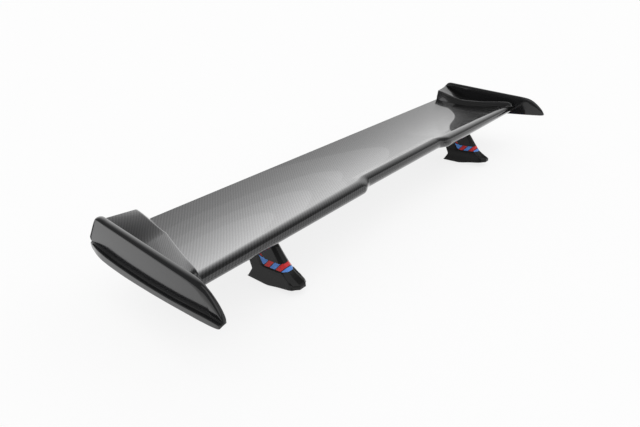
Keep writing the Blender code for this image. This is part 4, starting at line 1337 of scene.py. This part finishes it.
@dataclass
class InnerWorks:
    """The CAD nodes that keep their own shape: spars, ribs, hinge, feet and fasteners."""

    whole: tuple[tuple[str, Finish], ...] = (
        ("front_spar", CLOTH_INSIDE),
        ("rear_spar", CLOTH_INSIDE),
        ("centre_rib", CLOTH_INSIDE),
    )
    sided: tuple[tuple[str, Finish], ...] = (
        ("end_rib", CLOTH_INSIDE),
        ("hard_point", ALLOY),
        ("upright", ALLOY),
        ("foot_plate", ALLOY),
        ("pivot_bush", BRONZE),
        ("dowel_front", STEEL),
        ("dowel_rear", STEEL),
        ("spar_screw_inner", STEEL),
        ("spar_screw_outer", STEEL),
        ("pivot_screw", STEEL),
        ("angle_screw", STEEL),
        ("foot_screw_front", STEEL),
        ("foot_screw_rear", STEEL),
        ("threaded_insert_front", STEEL),
        ("threaded_insert_rear", STEEL),
        ("foot_gasket", RUBBER),
    )

    def dress(self) -> None:
        """Give each node its finish."""
        named = list(self.whole)
        named += [(f"{name}_{side.label}", finish) for name, finish in self.sided for side in Side]
        for name, finish in named:
            finish.dress(bpy.data.objects[name])
            LOG.info("%s: CAD node, %s", name, finish.name)


@dataclass
class Lamp:
    """A wide, soft sun lamp."""

    name: str
    towards: tuple[float, float, float]  # from the object to the lamp
    level: float  # share of white that it gives a white surface facing it
    spread: float  # degrees

    def build(self) -> None:
        """Put the lamp into the scene."""
        light = bpy.data.lights.new(self.name, "SUN")
        light.energy = self.level * math.pi
        light.angle = math.radians(self.spread)
        lamp = bpy.data.objects.new(self.name, light)
        lamp.rotation_euler = Vector(self.towards).to_track_quat("Z", "Y").to_euler()
        bpy.context.scene.collection.objects.link(lamp)


@dataclass
class Studio:
    """Pale floor, white surroundings, soft lamps and the camera."""

    floor_half: float = 60.0
    sky_level: float = 0.70  # what the surroundings give dull surfaces
    room_level: float = 0.20  # what reflections see away from the white wall
    wall: tuple[float, float, float] = (0.60, 0.78, 0.18)  # from the object to the middle of the white wall
    wall_fade: tuple[float, float] = (0.48, 0.95)  # cosines to that line between which the wall comes in
    eye: tuple[float, float, float] = (-0.934, -0.6228, 0.533)
    azimuth: float = -48.9
    elevation: float = 26.5
    roll: float = -1.96
    focal_px: float = 492.4
    image_width: float = 640.0
    sensor: float = 36.0  # in the lens's millimetres
    clip: tuple[float, float] = (0.01, 300.0)
    lamps: tuple[Lamp, ...] = (
        Lamp("back_inner", (0.42, 0.85, 0.32), 0.009, 24.0),
        Lamp("back_middle", (0.42, 0.85, 0.32), 0.017, 34.0),
        Lamp("back_outer", (0.42, 0.85, 0.32), 0.028, 44.0),
        Lamp("back_rim", (0.42, 0.85, 0.32), 0.044, 56.0),
        Lamp("front", (0.66, -0.70, 0.27), 0.17, 64.0),
        Lamp("key", (-0.27, -0.36, 0.87), 0.24, 60.0),
    )

    def floor(self) -> None:
        """A level sheet of paper."""
        reach = self.floor_half
        corners = np.array([(-reach, -reach, 0), (reach, -reach, 0), (reach, reach, 0), (-reach, reach, 0)])
        mesh = bpy.data.meshes.new("floor")
        mesh.from_pydata(corners.tolist(), [], [(0, 1, 2, 3)])
        sheet = bpy.data.objects.new("floor", mesh)
        bpy.context.scene.collection.objects.link(sheet)
        Paper("paper").dress(sheet)

    def surroundings(self) -> None:
        """White to the eye; in reflections white on the far side and dim elsewhere."""
        world = bpy.data.worlds.new("studio")
        bpy.context.scene.world = world
        world.use_nodes = True
        tree = Tree(world.node_tree)
        eye, gloss = tree.rays()
        x, y, z = tree.axes(tree.node("ShaderNodeTexCoord", {}, {}, "Generated"))
        nearness = x * self.wall[0] + y * self.wall[1] + z * self.wall[2]
        mirrored = nearness.step(*self.wall_fade).blend(self.room_level, 1.0)
        level = eye.blend(gloss.blend(self.sky_level, mirrored), 1.0)
        light = tree.node("ShaderNodeBackground", {}, {"Color": WHITE, "Strength": level})
        tree.node("ShaderNodeOutputWorld", {}, {"Surface": light})

    def camera(self) -> None:
        """The photograph's view: a level camera turned by azimuth and elevation, then rolled."""
        azimuth, elevation, roll = (math.radians(a) for a in (self.azimuth, self.elevation, self.roll))
        level = math.cos(elevation)
        back = Vector((math.sin(azimuth) * level, -math.cos(azimuth) * level, math.sin(elevation)))
        right = (-back).cross(Vector((0.0, 0.0, 1.0))).normalized()
        up = right.cross(-back)
        across = math.cos(roll) * right + math.sin(roll) * up
        upwards = math.cos(roll) * up - math.sin(roll) * right
        data = bpy.data.cameras.new("camera")
        data.sensor_fit = "HORIZONTAL"
        data.sensor_width = self.sensor
        data.lens = self.focal_px / self.image_width * self.sensor
        data.clip_start, data.clip_end = self.clip
        data.dof.use_dof = False
        camera = bpy.data.objects.new("camera", data)
        turn = Matrix((across, upwards, back)).transposed().to_4x4()
        camera.matrix_world = Matrix.Translation(self.eye) @ turn
        bpy.context.scene.collection.objects.link(camera)
        bpy.context.scene.camera = camera

    def build(self) -> None:
        """Everything round the object."""
        self.floor()
        self.surroundings()
        for lamp in self.lamps:
            lamp.build()
        self.camera()
        bpy.context.scene.view_settings.view_transform = "Standard"
        LOG.info("studio: floor, surroundings, %d lamps, camera", len(self.lamps))


def main() -> None:
    """Build the pieces, dress the CAD nodes and set the studio."""
    logging.basicConfig(level=logging.INFO, format="%(name)s %(message)s")
    blade = Blade()
    blade.build()
    for side in Side:
        EndPlate(side).build()
        EndFairing(side, blade).build()
        StandShell(side, blade).build()
    InnerWorks().dress()
    Studio().build()


if __name__ == "__main__":
    main()
